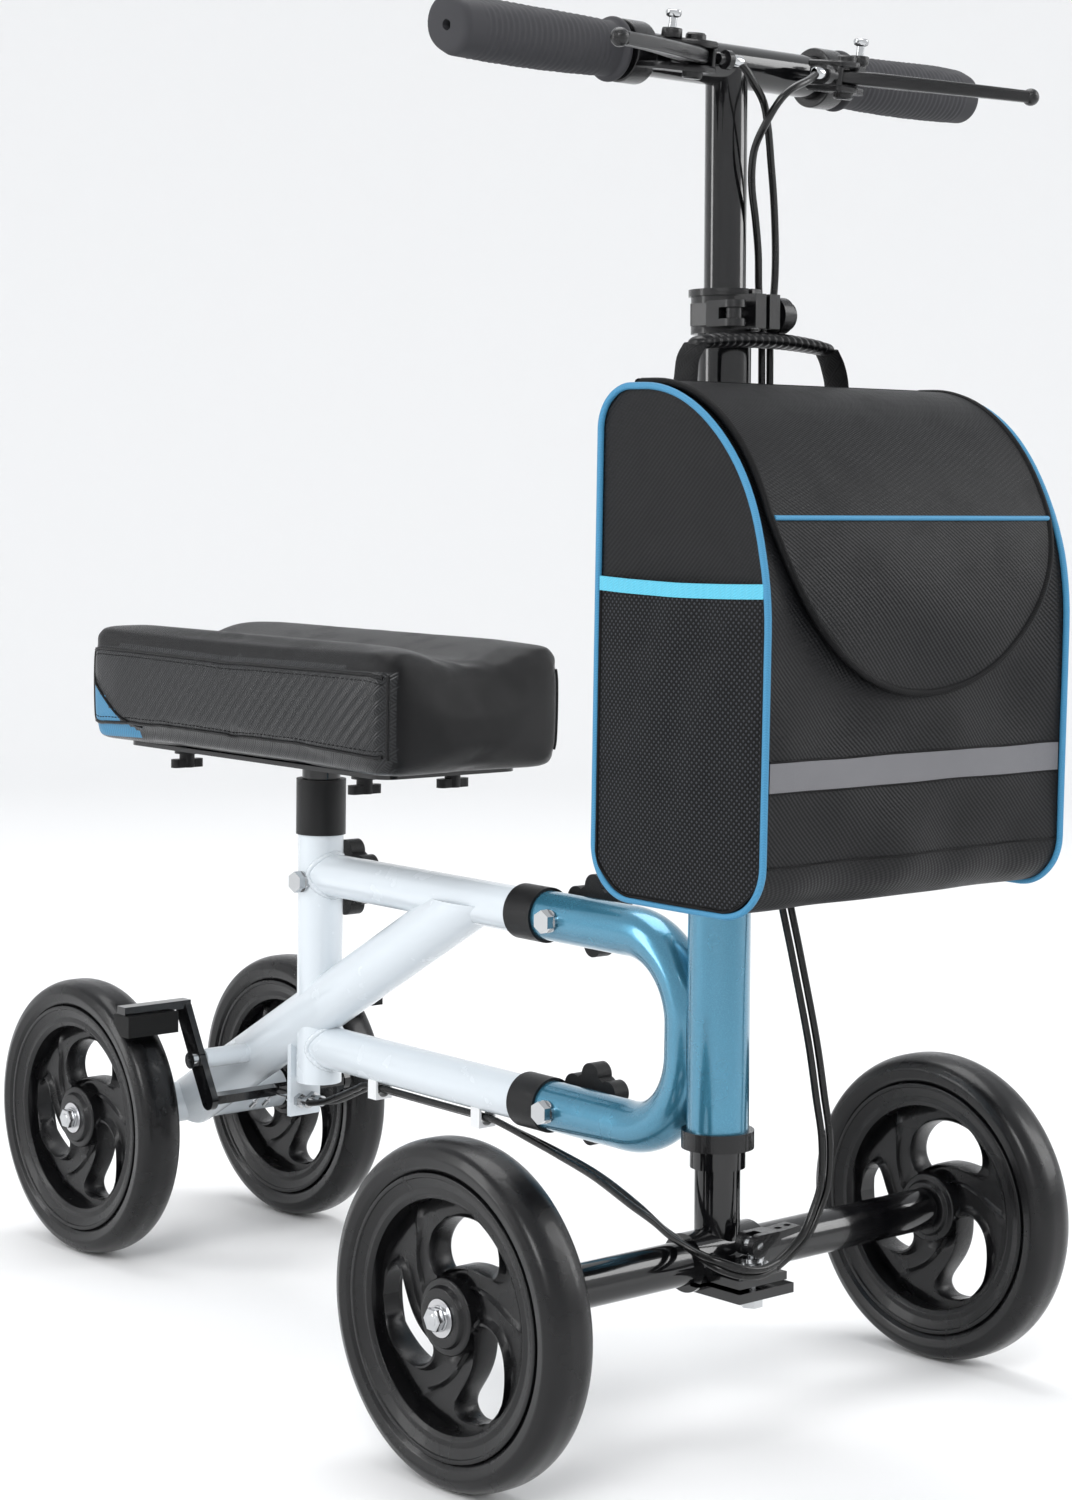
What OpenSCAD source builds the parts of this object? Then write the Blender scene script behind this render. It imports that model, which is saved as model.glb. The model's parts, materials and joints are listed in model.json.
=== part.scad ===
/* [Overall] */
// Distance between the front and the rear wheel axles
wheelbase = 560; // [500:5:640]
// Distance between the middles of the two front tyres
front_track = 404; // [360:2:440]
// Distance between the middles of the two rear tyres
rear_track = 184; // [176:2:230]
// Height of the handlebar tube with the post right down
bar_height = 812; // [780:2:900]
// Backward lean of the steering column, in degrees
rake = 1; // [0:0.5:4]

/* [Wheels] */
// Diameter of a wheel over its tyre
wheel_d = 200; // [190:1:230]
// Width of a tyre
tyre_w = 34; // [28:1:38]
// Rounding of the shoulders of a tyre
tyre_shoulder = 11; // [6:1:12]
// Diameter of the rim that the tyre sits on
rim_d = 164; // [150:1:170]
// Width of a wheel hub
hub_w = 30; // [26:1:34]
// Outer diameter of a wheel bearing
bearing_d = 22; // [19:1:24]
// Width of a wheel bearing
bearing_w = 7; // [5:1:8]
// Diameter of the bolts that hold the wheels
axle_bolt_d = 8; // [6:1:10]
// Outer diameter of the front axle tube
front_axle_d = 27; // [25:1:32]
// Outer diameter of the rear axle tube
rear_axle_d = 30; // [26:1:34]

/* [Frame] */
// Distance of the seat tube behind the front axle
seat_back = 404; // [360:2:440]
// Outer diameter of the seat tube
seat_tube_d = 32; // [30:1:36]
// Height of the lower end of the seat tube
seat_tube_foot = 140; // [132:1:150]
// Height of the upper end of the seat tube
seat_tube_top = 317; // [300:1:340]
// Height of the middle of the upper frame arm
top_arm_z = 289; // [270:1:296]
// Height of the middle of the lower frame arm
low_arm_z = 166; // [160:1:180]
// Outer diameter of the two straight frame arms
arm_d = 30; // [26:1:32]
// Outer diameter of the diagonal frame tube
diagonal_d = 38; // [34:1:42]
// Outer diameter of the bent front tube
bent_tube_d = 32; // [30:1:36]
// Bend radius of the front tube
bend_r = 52; // [44:1:56]
// Wall of every frame tube
tube_wall = 1.6; // [1.2:0.1:2]
// Outer diameter of the head tube
head_d = 38; // [36:1:42]
// Length of the head tube
head_len = 170; // [150:2:190]
// Outer diameter of the tube on which the brake bar turns
brake_tube_d = 14; // [12:1:18]
// Diameter of the bolts through the frame tubes
frame_bolt_d = 8; // [6:1:8]
// Diameter of a hand knob over its lobes
knob_d = 54; // [44:1:60]

/* [Seat] */
// Outer diameter of the seat post
seat_post_d = 27; // [25:0.5:28]
// How far the seat rises
seat_rise = 100; // [60:5:110]
// Height of the underside of the knee pad with the seat right down
pad_z = 374; // [366:1:390]
// Length of the knee pad
pad_len = 364; // [300:2:380]
// Width of the knee pad
pad_w = 162; // [130:2:180]
// Thickness of the knee pad at its edges
pad_h = 84; // [60:1:90]
// Depth of the channel along the top of the knee pad
channel_depth = 13; // [6:1:20]

/* [Steering] */
// Outer diameter of the steering tube
steerer_d = 28; // [26:0.5:30]
// Outer diameter of the headset cups
cup_d = 44.5; // [42:0.5:48]
// Height of the folding hinge above the front axle
fold_h = 285; // [280:1:300]
// Outer diameter of the column tube
column_d = 32; // [30:1:36]
// Outer diameter of the handlebar post and of the handlebar
bar_d = 25; // [22:0.5:26]
// Length of the handlebar over its ends
bar_len = 412; // [380:2:440]
// How far the handlebar rises
bar_rise = 180; // [120:5:190]
// How far the brake levers droop below the level, in degrees
lever_droop = 7.5; // [0:0.5:20]
// Diameter of the pivot pins in the brake levers
lever_pin_d = 6; // [5:0.5:7]
// Diameter of the hinge pin at the fold
fold_pin_d = 8; // [7:0.5:10]

/* [Bag] */
// Width of the bag
bag_w = 248; // [200:2:260]
// Depth of the bag from back to front
bag_depth = 135; // [110:1:150]
// Height of the bottom of the bag
bag_z = 334; // [328:1:350]
// Height of the bag
bag_h = 287; // [250:1:300]
// Thickness of the bag's lined fabric
bag_wall = 4; // [3:0.5:6]

/* [Clearances] */
// Radial gap of a pin or shaft that turns in its bore
running_gap = 0.05; // [0.02:0.01:0.08]
// Radial gap between tubes that slide in each other
slide_gap = 0.06; // [0.03:0.01:0.08]
// Free gap between pieces that pass each other
free_gap = 0.5; // [0.4:0.1:0.8]

/* [Hidden] */
$fn = 48;
wheel_r = wheel_d / 2;
axle_z = wheel_r;
bag_gap = 19;
flap_gap = 0.5;
flap_t = 2.5;
bag_reach = bag_gap + bag_depth + flap_gap + flap_t;
front_y = (bag_reach - wheelbase - wheel_r) / 2;
rear_y = front_y + wheelbase;
seat_y = front_y + seat_back;
bag_back = front_y - bag_gap;
hub_half = hub_w / 2;
axle_gap = 1.5;
front_axle_end = front_track / 2 - hub_half - axle_gap;
rear_axle_end = rear_track / 2 - hub_half - axle_gap;

// Heights along the steering axis, measured from the front axle
head_h = 78;
head_top = head_h + head_len;
cup_h = 11;
race_h = 12;
bearing_seat_h = 8;
base_disc_h = head_top + cup_h + free_gap;
base_disc_t = 8;
ear_r = 14;
ear_t = 6;
tongue_w = 26;
ear_x = tongue_w / 2 + 0.4;
column_h = fold_h + 15;
bar_h = (bar_height - axle_z) / cos(rake);
clamp_h = bar_h - 157;
clamp_len = 22;
column_top = clamp_h + clamp_len - 4;
post_foot = clamp_h - bar_rise - 45;
clamp_d = column_d + 8;
skewer_y = -27;
skewer_h = clamp_h + 10.5;

// Frame stations along the length
bend_y = front_y + 27;
collar_len = 25;
top_collar_y = front_y + 184;
low_collar_y = front_y + 178;
bolt_y = front_y + 141;
insert_len = 66;
insert_d = bent_tube_d - 2 * tube_wall - 0.2;
diagonal_rise = 30.4;
brake_y = rear_y - 91;
brake_z = axle_z + 52;
brake_tube_end = 55;
tab_y = seat_y + 18;
adjuster_x = 5.7;
adjuster_z = 124;
knob_gap = 0.3;
seat_bolt_z = 284;
clip_places = [front_y + 215.5, front_y + 326.5];

// Brake cable sizes and routes
cable_d = 4.5;
wire_d = 1.6;
pair_gap = 5.5;
pair_ref = [0.3, 1, 0.6];
ferrule_x = 36;
// A point given in the raked frame of the steering, in the frame of the part
function steered(p) = [p[0], front_y + p[1] * cos(rake) + p[2] * sin(rake),
    axle_z - p[1] * sin(rake) + p[2] * cos(rake)];
// A point given ahead of or behind the front axle, and from the floor
function from_front(p) = [p[0], front_y + p[1], p[2]];

loop_end = steered([0, -50.5, 4]);
loop_route = [for (p = [
    [28.8, -6, clamp_h + 5], [29, -6.5, clamp_h - 95], [29, -7, 360], [29.5, -8.5, 300],
    [30, -14, 260], [31, -22.5, 224.5], [34, -31.5, 184.5], [38.5, -41, 134.5], [42, -45, 99],
    [43, -49, 74], [41, -50.5, 49], [35, -50, 33], [25, -50, 18], [12, -49.5, 9],
    [3, -50.5, 5]]) steered(p), loop_end];
steer_route = concat([loop_end, loop_end + [-3, 0, -1]], [for (p = [
    [-14, -51.5, 103], [-28, -49.5, 105], [-38, -42.5, 109], [-42, -32.5, 112],
    [-42, -16.5, 116], [-40, 1.5, 120], [-36, 31.5, 128], [-24, 81.5, 136], [-12, 131.5, 139.5],
    [-5, 171.5, 142.5], [-2, 209.5, 147]]) from_front(p)]);
rear_route = concat([for (p = [
    [-2, 210.2, 147], [-2, 271.5, 147], [-2, 338.5, 147], [-1.5, 352, 143.5]]) from_front(p)],
    [[-1, tab_y - 56, 137], [-0.5, tab_y - 42, 131], [0, tab_y - 31, 127]]);

// Routes from the two levers to the head of the loop, heights below the handlebar
right_bar_route = [for (p = [
    [-ferrule_x, -42, 5.5], [3 - ferrule_x, -42, 5.5], [-28, -43.5, 9.5], [-21, -42.5, 15.5],
    [-8, -38.5, 25.5], [2, -32.5, 38.5], [11, -26, 54.5], [22, -17.5, 78], [30, -10, 106], [32, -6.5, 129]])
    steered([p[0], p[1], bar_h - p[2]])];
left_bar_route = [for (p = [
    [ferrule_x, -42, 5.5], [ferrule_x - 3, -42, 5.5], [27, -44.5, 8.5], [18, -47.5, 12.5], [6, -48.5, 17.5],
    [-2, -46.5, 24.5], [-6, -40.5, 35.5], [-5, -30, 48.5], [-2, -24, 59.5], [4, -18.5, 73],
    [12, -14.5, 90], [20, -10, 109], [25, -6.5, 129]]) steered([p[0], p[1], bar_h - p[2]])];

// ---------- shared shapes ----------

// Puts its children in the raked frame of the steering: origin at the front axle, Z up the column
module on_steer() {
    translate([0, front_y, axle_z]) rotate([-rake, 0, 0]) children();
}

// A solid rod along X from x0 to x1 at a height z and a place y
module xrod(x0, x1, y, z, d) {
    translate([x0, y, z]) rotate([0, 90, 0]) cylinder(h = x1 - x0, d = d);
}

// A solid rod along Y from y0 to y1
module yrod(y0, y1, x, z, d) {
    translate([x, y0, z]) rotate([-90, 0, 0]) cylinder(h = y1 - y0, d = d);
}

// A solid rod along Z from z0 to z1
module zrod(z0, z1, x, y, d) {
    translate([x, y, z0]) cylinder(h = z1 - z0, d = d);
}

// A box given by two opposite corners
module span_box(a, b) {
    translate(a) cube(b - a);
}

// A plain ring along Z
module ring(h, od, id) {
    difference() {
        cylinder(h = h, d = od);
        translate([0, 0, -1]) cylinder(h = h + 2, d = id);
    }
}

// A rectangle with round corners, centred on the origin
module round_rect(w, h, r) {
    square([w - 2 * r, h], center = true);
    square([w, h - 2 * r], center = true);
    for (x = [-1, 1], y = [-1, 1]) translate([x * (w / 2 - r), y * (h / 2 - r)]) circle(r = r);
}

// A flat bar between two points with round ends
module link(p, q, wp, wq) {
    d = q - p;
    n = [-d[1], d[0]] / norm(d);
    translate(p) circle(d = wp);
    translate(q) circle(d = wq);
    polygon([p + n * wp / 2, q + n * wq / 2, q - n * wq / 2, p - n * wp / 2]);
}

// A tapered strap between two points with round ends
module strap(p, q, wp, wq) {
    hull() {
        translate(p) circle(d = wp, $fn = 32);
        translate(q) circle(d = wq, $fn = 32);
    }
}

// Hex head or nut along +X from the origin
module hex(t, across) {
    rotate([0, 90, 0]) cylinder(h = t, d = across / cos(30), $fn = 6);
}

function unit(v) = v / norm(v);
function tangent(r, i) = unit(r[min(i + 1, len(r) - 1)] - r[max(i - 1, 0)]);
function beside(t) = unit(cross(t, pair_ref));

// One of two cables side by side; grow opens the pair over its last three points
function pair(r, side, grow = 0) = [for (i = [0 : len(r) - 1])
    r[i] + side * (pair_gap / 2 + grow * max(0, i - len(r) + 4)) * beside(tangent(r, i))];

// A round cable swept along a route, eight sides, with flat closed ends
module cable(route, d, sides = 8) {
    n = len(route);
    rings = [for (i = [0 : n - 1])
        let (t = tangent(route, i), u = beside(t), v = cross(t, u))
        for (k = [0 : sides - 1])
            route[i] + d / 2 * (cos(360 * k / sides) * u + sin(360 * k / sides) * v)];
    walls = [for (i = [0 : n - 2], k = [0 : sides - 1])
        let (a = i * sides + k, b = i * sides + (k + 1) % sides)
        each [[a, a + sides, b + sides], [a, b + sides, b]]];
    caps = [[for (k = [0 : sides - 1]) k],
        [for (k = [sides - 1 : -1 : 0]) (n - 1) * sides + k]];
    polyhedron(points = rings, faces = concat(caps, walls), convexity = 6);
}

// Star knob along +X from the origin: lobed head, boss and blind bore for its bolt
module star_knob(bolt_d, reach) {
    difference() {
        rotate([0, 90, 0]) union() {
            cylinder(h = 8, d = 19);
            translate([0, 0, 5]) linear_extrude(height = 12) {
                circle(d = knob_d - 14);
                for (k = [0 : 5]) rotate(60 * k) translate([knob_d / 2 - 8, 0]) circle(d = 16);
            }
        }
        translate([-1, 0, 0]) rotate([0, 90, 0])
            cylinder(h = reach + 2, d = bolt_d + 2 * running_gap);
    }
}

cam_d = 14;
cam_w = 15;
cam_pin_d = 5;
cam_slot = 6.6;
skewer_d = 6;

// Quick-release lever: cam barrel on Z at the origin, arm along +X, slot open for the skewer
module cam_lever(length, holes) {
    difference() {
        union() {
            translate([0, 0, -cam_w / 2]) cylinder(h = cam_w, d = cam_d);
            translate([0, 0, -cam_w / 2]) linear_extrude(height = cam_w)
                polygon([[0, -2], [0, cam_d / 2], [16, cam_d / 2], [18, 0], [14, -2]]);
            translate([0, 0, -cam_w / 2 + 1]) linear_extrude(height = cam_w - 2)
                link([12, 3.5], [length, 5.5], 5, 4);
        }
        translate([-10, -10, -cam_slot / 2]) cube([15.6, 20, cam_slot]);
        translate([0, 0, -20]) cylinder(h = 40, d = cam_pin_d + 2 * running_gap);
        if (holes) for (x = [length - 12, length - 4]) translate([x, 10, 0])
            rotate([90, 0, 0]) cylinder(h = 20, d = 4.5);
    }
}

// Eye of a skewer at the origin with its cross pin on Z and its neck along -Y
module skewer_eye(neck) {
    translate([0, 0, -3]) cylinder(h = 6, d = 10);
    translate([0, 0, -cam_w / 2]) cylinder(h = cam_w, d = cam_pin_d);
    translate([0, -neck, 0]) rotate([-90, 0, 0]) cylinder(h = neck, d = skewer_d);
}

// ---------- frame ----------

// The solid envelopes of the tubes, used to cope one tube against another
module seat_tube_solid(d = seat_tube_d) {
    zrod(seat_tube_foot, seat_tube_top, 0, seat_y, d);
}

module diagonal_solid(d, extra = 0) {
    length = 470;
    translate([0, rear_y, axle_z]) rotate([90 - diagonal_rise, 0, 0]) translate([0, 0, -extra])
        cylinder(h = length + extra, d = d);
}

module top_arm_solid(d = arm_d) {
    yrod(top_collar_y, seat_y, 0, top_arm_z, d);
}

module low_arm_solid(d = arm_d) {
    yrod(low_collar_y, seat_y, 0, low_arm_z, d);
}

module head_solid(d = head_d) {
    on_steer() translate([0, 0, head_h]) cylinder(h = head_len, d = d);
}

// The head tube's envelope with twelve flats, for the tube that is welded to it
module head_cope() {
    on_steer() translate([0, 0, head_h]) rotate(15)
        cylinder(h = head_len, d = (head_d + 0.2) / cos(15), $fn = 12);
}

module seat_tube() {
    color("aliceblue") difference() {
        seat_tube_solid();
        zrod(seat_tube_foot - 1, seat_tube_top + 1, 0, seat_y, seat_post_d + 1);
        xrod(-30, 30, seat_y, seat_bolt_z, frame_bolt_d);
    }
}

// Straight arm whose front end is stepped down to slide into the bent tube
module arm(collar_y, z) {
    difference() {
        union() {
            yrod(collar_y, seat_y, 0, z, arm_d);
            yrod(collar_y - insert_len, collar_y, 0, z, insert_d);
        }
        yrod(collar_y - insert_len - 1, seat_y, 0, z, insert_d - 2 * tube_wall - 1);
        xrod(-30, 30, bolt_y, z, frame_bolt_d);
        seat_tube_solid();
    }
}

module top_arm() {
    color("aliceblue") arm(top_collar_y, top_arm_z);
}

module lower_arm() {
    color("aliceblue") difference() {
        arm(low_collar_y, low_arm_z);
        diagonal_solid(diagonal_d);
    }
}

// Diagonal tube from the rear axle up through the seat tube to the upper arm
module diagonal_tube() {
    color("aliceblue") difference() {
        intersection() {
            diagonal_solid(diagonal_d);
            span_box([-40, front_y + 100, 0], [40, rear_y + 20, top_arm_z]);
        }
        diagonal_solid(diagonal_d - 2 * tube_wall, 20);
        xrod(-40, 40, rear_y, axle_z, rear_axle_d);
        seat_tube_solid();
        top_arm_solid();
        xrod(-40, 40, brake_y, brake_z, brake_tube_d);
    }
}

// Axle tube with a threaded plug in each end; its boss bears on the wheel bearing
module axle_tube(d, end) {
    difference() {
        union() {
            xrod(-end, end, 0, 0, d);
            xrod(-end - axle_gap, end + axle_gap, 0, 0, 12);
        }
        xrod(-end + 25, end - 25, 0, 0, d - 4);
        for (s = [-1, 1]) xrod(s < 0 ? -end - 5 : end - 26, s < 0 ? -end + 26 : end + 5, 0, 0,
            axle_bolt_d);
    }
}

module rear_axle_tube() {
    color("aliceblue") translate([0, rear_y, axle_z]) axle_tube(rear_axle_d, rear_axle_end);
}

module brake_cross_tube() {
    color("aliceblue") difference() {
        xrod(-brake_tube_end, brake_tube_end, brake_y, brake_z, brake_tube_d);
        xrod(-60, 60, brake_y, brake_z, axle_bolt_d);
    }
}

// A quarter bend of hollow tube in the XY plane, from +X round to +Y
module quarter_bend(d, bore) {
    rotate_extrude(angle = 90) translate([bend_r, 0]) difference() {
        circle(d = d);
        circle(d = bore);
    }
}

// Bent front tube: two arms joined by two bends, welded into the back of the head tube
module bent_tube() {
    bore = bent_tube_d - 2 * tube_wall;
    arms = [[top_arm_z, top_collar_y - collar_len, top_arm_z - bend_r, 90],
        [low_arm_z, low_collar_y - collar_len, low_arm_z + bend_r, -90]];
    color("steelblue") difference() {
        union() {
            for (a = arms) {
                translate([0, bend_y + bend_r, a[0]]) rotate([-90, 0, 0])
                    ring(a[1] - bend_y - bend_r, bent_tube_d, bore);
                translate([0, bend_y + bend_r, a[2]]) rotate([0, 0, -90]) rotate([a[3], 0, 0])
                    quarter_bend(bent_tube_d, bore);
            }
            translate([0, bend_y, low_arm_z + bend_r])
                ring(top_arm_z - low_arm_z - 2 * bend_r, bent_tube_d, bore);
        }
        for (a = arms) xrod(-30, 30, bolt_y, a[0], frame_bolt_d);
        head_cope();
    }
}

module head_tube() {
    color("steelblue") difference() {
        head_solid();
        on_steer() translate([0, 0, head_h - 1]) cylinder(h = head_len + 2, d = head_d - 4);
    }
}

// Tab under the diagonal that holds the two cable adjusters
module cable_bracket() {
    color("aliceblue") difference() {
        span_box([-13, tab_y - 2, adjuster_z - 11], [13, tab_y + 2, 190]);
        diagonal_solid(diagonal_d, 20);
        seat_tube_solid();
        for (s = [-1, 1]) yrod(tab_y - 5, tab_y + 5, s * adjuster_x, adjuster_z, 6);
    }
}

// Plastic collars over the two arm joints and at the top of the seat tube
module tube_collars() {
    lip = 3;
    color("dimgray") {
        for (p = [[top_collar_y, top_arm_z], [low_collar_y, low_arm_z]])
            translate([0, p[0], p[1]]) rotate([90, 0, 0]) {
                ring(collar_len, bent_tube_d + 4, arm_d + 0.6);
            }
        difference() {
            zrod(seat_tube_top, seat_tube_top + 39, 0, seat_y, seat_tube_d + lip);
            zrod(seat_tube_top - 1, seat_tube_top + 40, 0, seat_y, seat_post_d + 2 * slide_gap);
        }
    }
}

// Cross bolt with a hex head on the right and its end in a hand knob on the left
module cross_bolt(y, z, half) {
    translate([0, y, z]) {
        rotate([0, 90, 0]) translate([0, 0, -half]) cylinder(h = 2 * half + 12, d = frame_bolt_d);
        translate([-half - 1.5, 0, 0]) rotate([0, 90, 0]) cylinder(h = 1.5, d = 15);
        translate([-half - 7, 0, 0]) hex(5.5, 13);
    }
}

module frame_bolts() {
    color("silver") {
        cross_bolt(seat_y, seat_bolt_z, seat_tube_d / 2);
        cross_bolt(bolt_y, top_arm_z, bent_tube_d / 2);
        cross_bolt(bolt_y, low_arm_z, bent_tube_d / 2);
        for (s = [-1, 1]) translate([0, brake_y, brake_z]) mirror([s < 0 ? 1 : 0, 0, 0]) {
            xrod(20, brake_tube_end + 6.8, 0, 0, axle_bolt_d);
            xrod(brake_tube_end + 6.8, brake_tube_end + 11, 0, 0, 12);
        }
    }
}

// Bolt of one wheel, head outwards, for the +X side
module wheel_bolt(track, end) {
    face = track / 2 + hub_half;
    xrod(end - 25, face, 0, 0, axle_bolt_d);
    xrod(face, face + 1.2, 0, 0, 15);
    translate([face + 1.2, 0, 0]) hex(4.8, 12.5);
}

// Two bearings and the spacer between them for one wheel, on the +X side
module hub_bearings(track) {
    for (x = [-hub_half, hub_half - bearing_w]) translate([track / 2 + x, 0, 0])
        rotate([0, 90, 0]) ring(bearing_w, bearing_d - 2 * running_gap, axle_bolt_d);
    translate([track / 2 - hub_half + bearing_w, 0, 0]) rotate([0, 90, 0])
        ring(hub_w - 2 * bearing_w, 12, axle_bolt_d);
}

module both_sides() {
    for (s = [0, 1]) mirror([s, 0, 0]) children();
}

module rear_axle_bolts() {
    color("silver") translate([0, rear_y, axle_z]) both_sides()
        wheel_bolt(rear_track, rear_axle_end);
}

module rear_wheel_bearings() {
    color("gainsboro") translate([0, rear_y, axle_z]) both_sides() hub_bearings(rear_track);
}

module front_axle_bolts() {
    color("silver") translate([0, front_y, axle_z]) both_sides()
        wheel_bolt(front_track, front_axle_end);
}

module front_wheel_bearings() {
    color("gainsboro") translate([0, front_y, axle_z]) both_sides() hub_bearings(front_track);
}

// A headset cup with its bearing, opening downwards, with its neck inside the head tube
module cup() {
    neck_d = head_d - 4;
    difference() {
        union() {
            translate([0, 0, -cup_h]) cylinder(h = cup_h, d = cup_d);
            cylinder(h = 9, d = neck_d);
        }
        translate([0, 0, -cup_h - 1]) cylinder(h = bearing_seat_h + 1, d = cup_d - 5);
        translate([0, 0, -cup_h]) cylinder(h = 30, d = steerer_d + 2);
    }
    translate([0, 0, -cup_h]) ring(bearing_seat_h, cup_d - 5, steerer_d + 2 * running_gap);
}

module headset() {
    color("black") on_steer() {
        translate([0, 0, head_h]) cup();
        translate([0, 0, head_top]) mirror([0, 0, 1]) cup();
    }
}

// Clips that hold the two cables under the lower arm
module cable_clips() {
    color("white") for (y = clip_places) difference() {
        span_box([-9, y, 140.5], [5, y + 9, low_arm_z - 8]);
        low_arm_solid();
        yrod(y - 5, y + 20, -2, 147, 10.4);
        span_box([-7.2, y - 5, 147], [3.2, y + 20, low_arm_z]);
    }
}

cable_exit_y = 156;

// Barrel adjusters with lock nuts and rubber boots in the cable bracket
module cable_adjusters() {
    color("silver") for (s = [-1, 1]) difference() {
        union() {
            yrod(cable_exit_y, cable_exit_y + 4, s * adjuster_x, adjuster_z, 7.5);
            yrod(cable_exit_y + 3, tab_y + 10, s * adjuster_x, adjuster_z, 6);
            translate([s * adjuster_x, tab_y - 6, adjuster_z]) rotate([0, 0, 90]) hex(4, 9);
            translate([s * adjuster_x, tab_y + 2, adjuster_z]) rotate([0, 0, 90]) hex(4, 9);
        }
        yrod(cable_exit_y + 1, tab_y + 20, s * adjuster_x, adjuster_z, 4);
    }
}

module rear_cables() {
    color("black") for (s = [-1, 1]) cable(concat(pair(rear_route, s, 0.5), [
        [s * adjuster_x, tab_y - 19, adjuster_z],
        [s * adjuster_x, cable_exit_y - 0.2, adjuster_z]]), cable_d);
}

module seat_knob() {
    color("black") translate([seat_tube_d / 2 + knob_gap, seat_y, seat_bolt_z])
        star_knob(frame_bolt_d, 12);
}

module upper_frame_knob() {
    color("black") translate([bent_tube_d / 2 + knob_gap, bolt_y, top_arm_z])
        star_knob(frame_bolt_d, 12);
}

module lower_frame_knob() {
    color("black") translate([bent_tube_d / 2 + knob_gap, bolt_y, low_arm_z])
        star_knob(frame_bolt_d, 12);
}

// ---------- seat ----------

plate_t = 3;

// Slotted seat post with the steel plate that carries the knee pad
module seat_post() {
    slot_w = frame_bolt_d + 2 * free_gap;
    plate_z = pad_z - plate_t - free_gap;
    foot = seat_bolt_z - seat_rise - 18;
    color("black") {
        difference() {
            zrod(foot, plate_z, 0, seat_y, seat_post_d);
            zrod(foot - 1, plate_z - 4, 0, seat_y, seat_post_d - 4);
            xrod(-30, 30, seat_y, seat_bolt_z, slot_w);
            xrod(-30, 30, seat_y, seat_bolt_z - seat_rise, slot_w);
            span_box([-30, seat_y - slot_w / 2, seat_bolt_z - seat_rise],
                [30, seat_y + slot_w / 2, seat_bolt_z]);
        }
        difference() {
            translate([0, pad_y, plate_z]) linear_extrude(height = plate_t)
                round_rect(pad_w - 44, pad_len - 60, 12);
            for (p = pad_knob_places) zrod(plate_z - 1, pad_z, p[0], p[1], 6);
        }
    }
}

pad_front = front_y + 228;
pad_y = pad_front + pad_len / 2;
pad_knob_places = [for (x = [-1, 1], y = [-1, 1]) [x * 38, pad_y + y * 105]];

module knee_pad() {
    channel_half = pad_w * 0.36;
    channel_r = (channel_half * channel_half + channel_depth * channel_depth) / 2
        / channel_depth;
    color("dimgray") difference() {
        translate([0, pad_y, pad_z]) linear_extrude(height = pad_h)
            round_rect(pad_w, pad_len, 12);
        yrod(pad_front - 1, pad_front + pad_len + 1, 0,
            pad_z + pad_h - channel_depth + channel_r, 2 * channel_r);
    }
}

// Screws with wing heads that hold the pad on its plate
module pad_knobs() {
    top = pad_z - plate_t - free_gap;
    color("black") for (p = pad_knob_places) translate([p[0], p[1], top]) {
        translate([0, 0, -4]) cylinder(h = 4, d = 18);
        translate([0, 0, -14]) cylinder(h = 10, d = 11);
        translate([0, 0, -14]) linear_extrude(height = 6) link([-9, 0], [9, 0], 8, 8);
        cylinder(h = plate_t + free_gap - 0.3, d = 6);
    }
}

// ---------- steering ----------

saddle_d = front_axle_d + 9;
saddle_half = 28;
saddle_lug_y = -30;
saddle_lug_z = -13;
saddle_lug_t = 6;
saddle_pin_h = 12.5;

// Steering tube welded to the split saddle that holds the front axle
module steerer() {
    color("black") on_steer() difference() {
        union() {
            zrod(0, base_disc_h - free_gap, 0, 0, steerer_d);
            zrod(head_h - cup_h - race_h, head_h - cup_h - 0.4, 0, 0, steerer_d + 6);
            xrod(-saddle_half, saddle_half, 0, 0, saddle_d);
            span_box([-20, saddle_lug_y - 10, saddle_lug_z - saddle_lug_t], [26, 0, saddle_lug_z]);
            span_box([-20, saddle_lug_y - 10, saddle_lug_z + 3], [20, 0, saddle_lug_z + 8]);
        }
        xrod(-saddle_half - 1, saddle_half + 1, 0, 0, front_axle_d);
        zrod(0, base_disc_h, 0, 0, steerer_d - 4);
        zrod(-60, 20, 0, saddle_lug_y, skewer_d);
        span_box([-saddle_half - 1, -40, saddle_lug_z], [saddle_half + 1, -6, saddle_lug_z + 3]);
    }
}

module front_axle_tube() {
    color("black") translate([0, front_y, axle_z]) axle_tube(front_axle_d, front_axle_end);
}

// Skewer, rubber and steel washers and nut that close the saddle on the axle
module saddle_skewer() {
    bottom = saddle_lug_z - saddle_lug_t;
    color("dimgray") on_steer() translate([0, saddle_lug_y, 0]) {
        translate([0, 0, saddle_pin_h]) rotate([90, 0, 0]) skewer_eye(saddle_pin_h - bottom + 4);
        translate([0, 0, bottom - 6]) cylinder(h = 6, d = 12 / cos(30), $fn = 6);
        translate([0, 0, saddle_lug_z + 8]) ring(3, 22, skewer_d);
        translate([0, 0, saddle_lug_z + 11]) ring(4, 20, skewer_d);
        translate([0, 0, saddle_lug_z + 15]) ring(3, 15, skewer_d);
    }
}

module saddle_lever() {
    color("black") on_steer() translate([0, saddle_lug_y, saddle_pin_h]) rotate([90, 0, 0])
        cam_lever(34, true);
}

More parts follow.
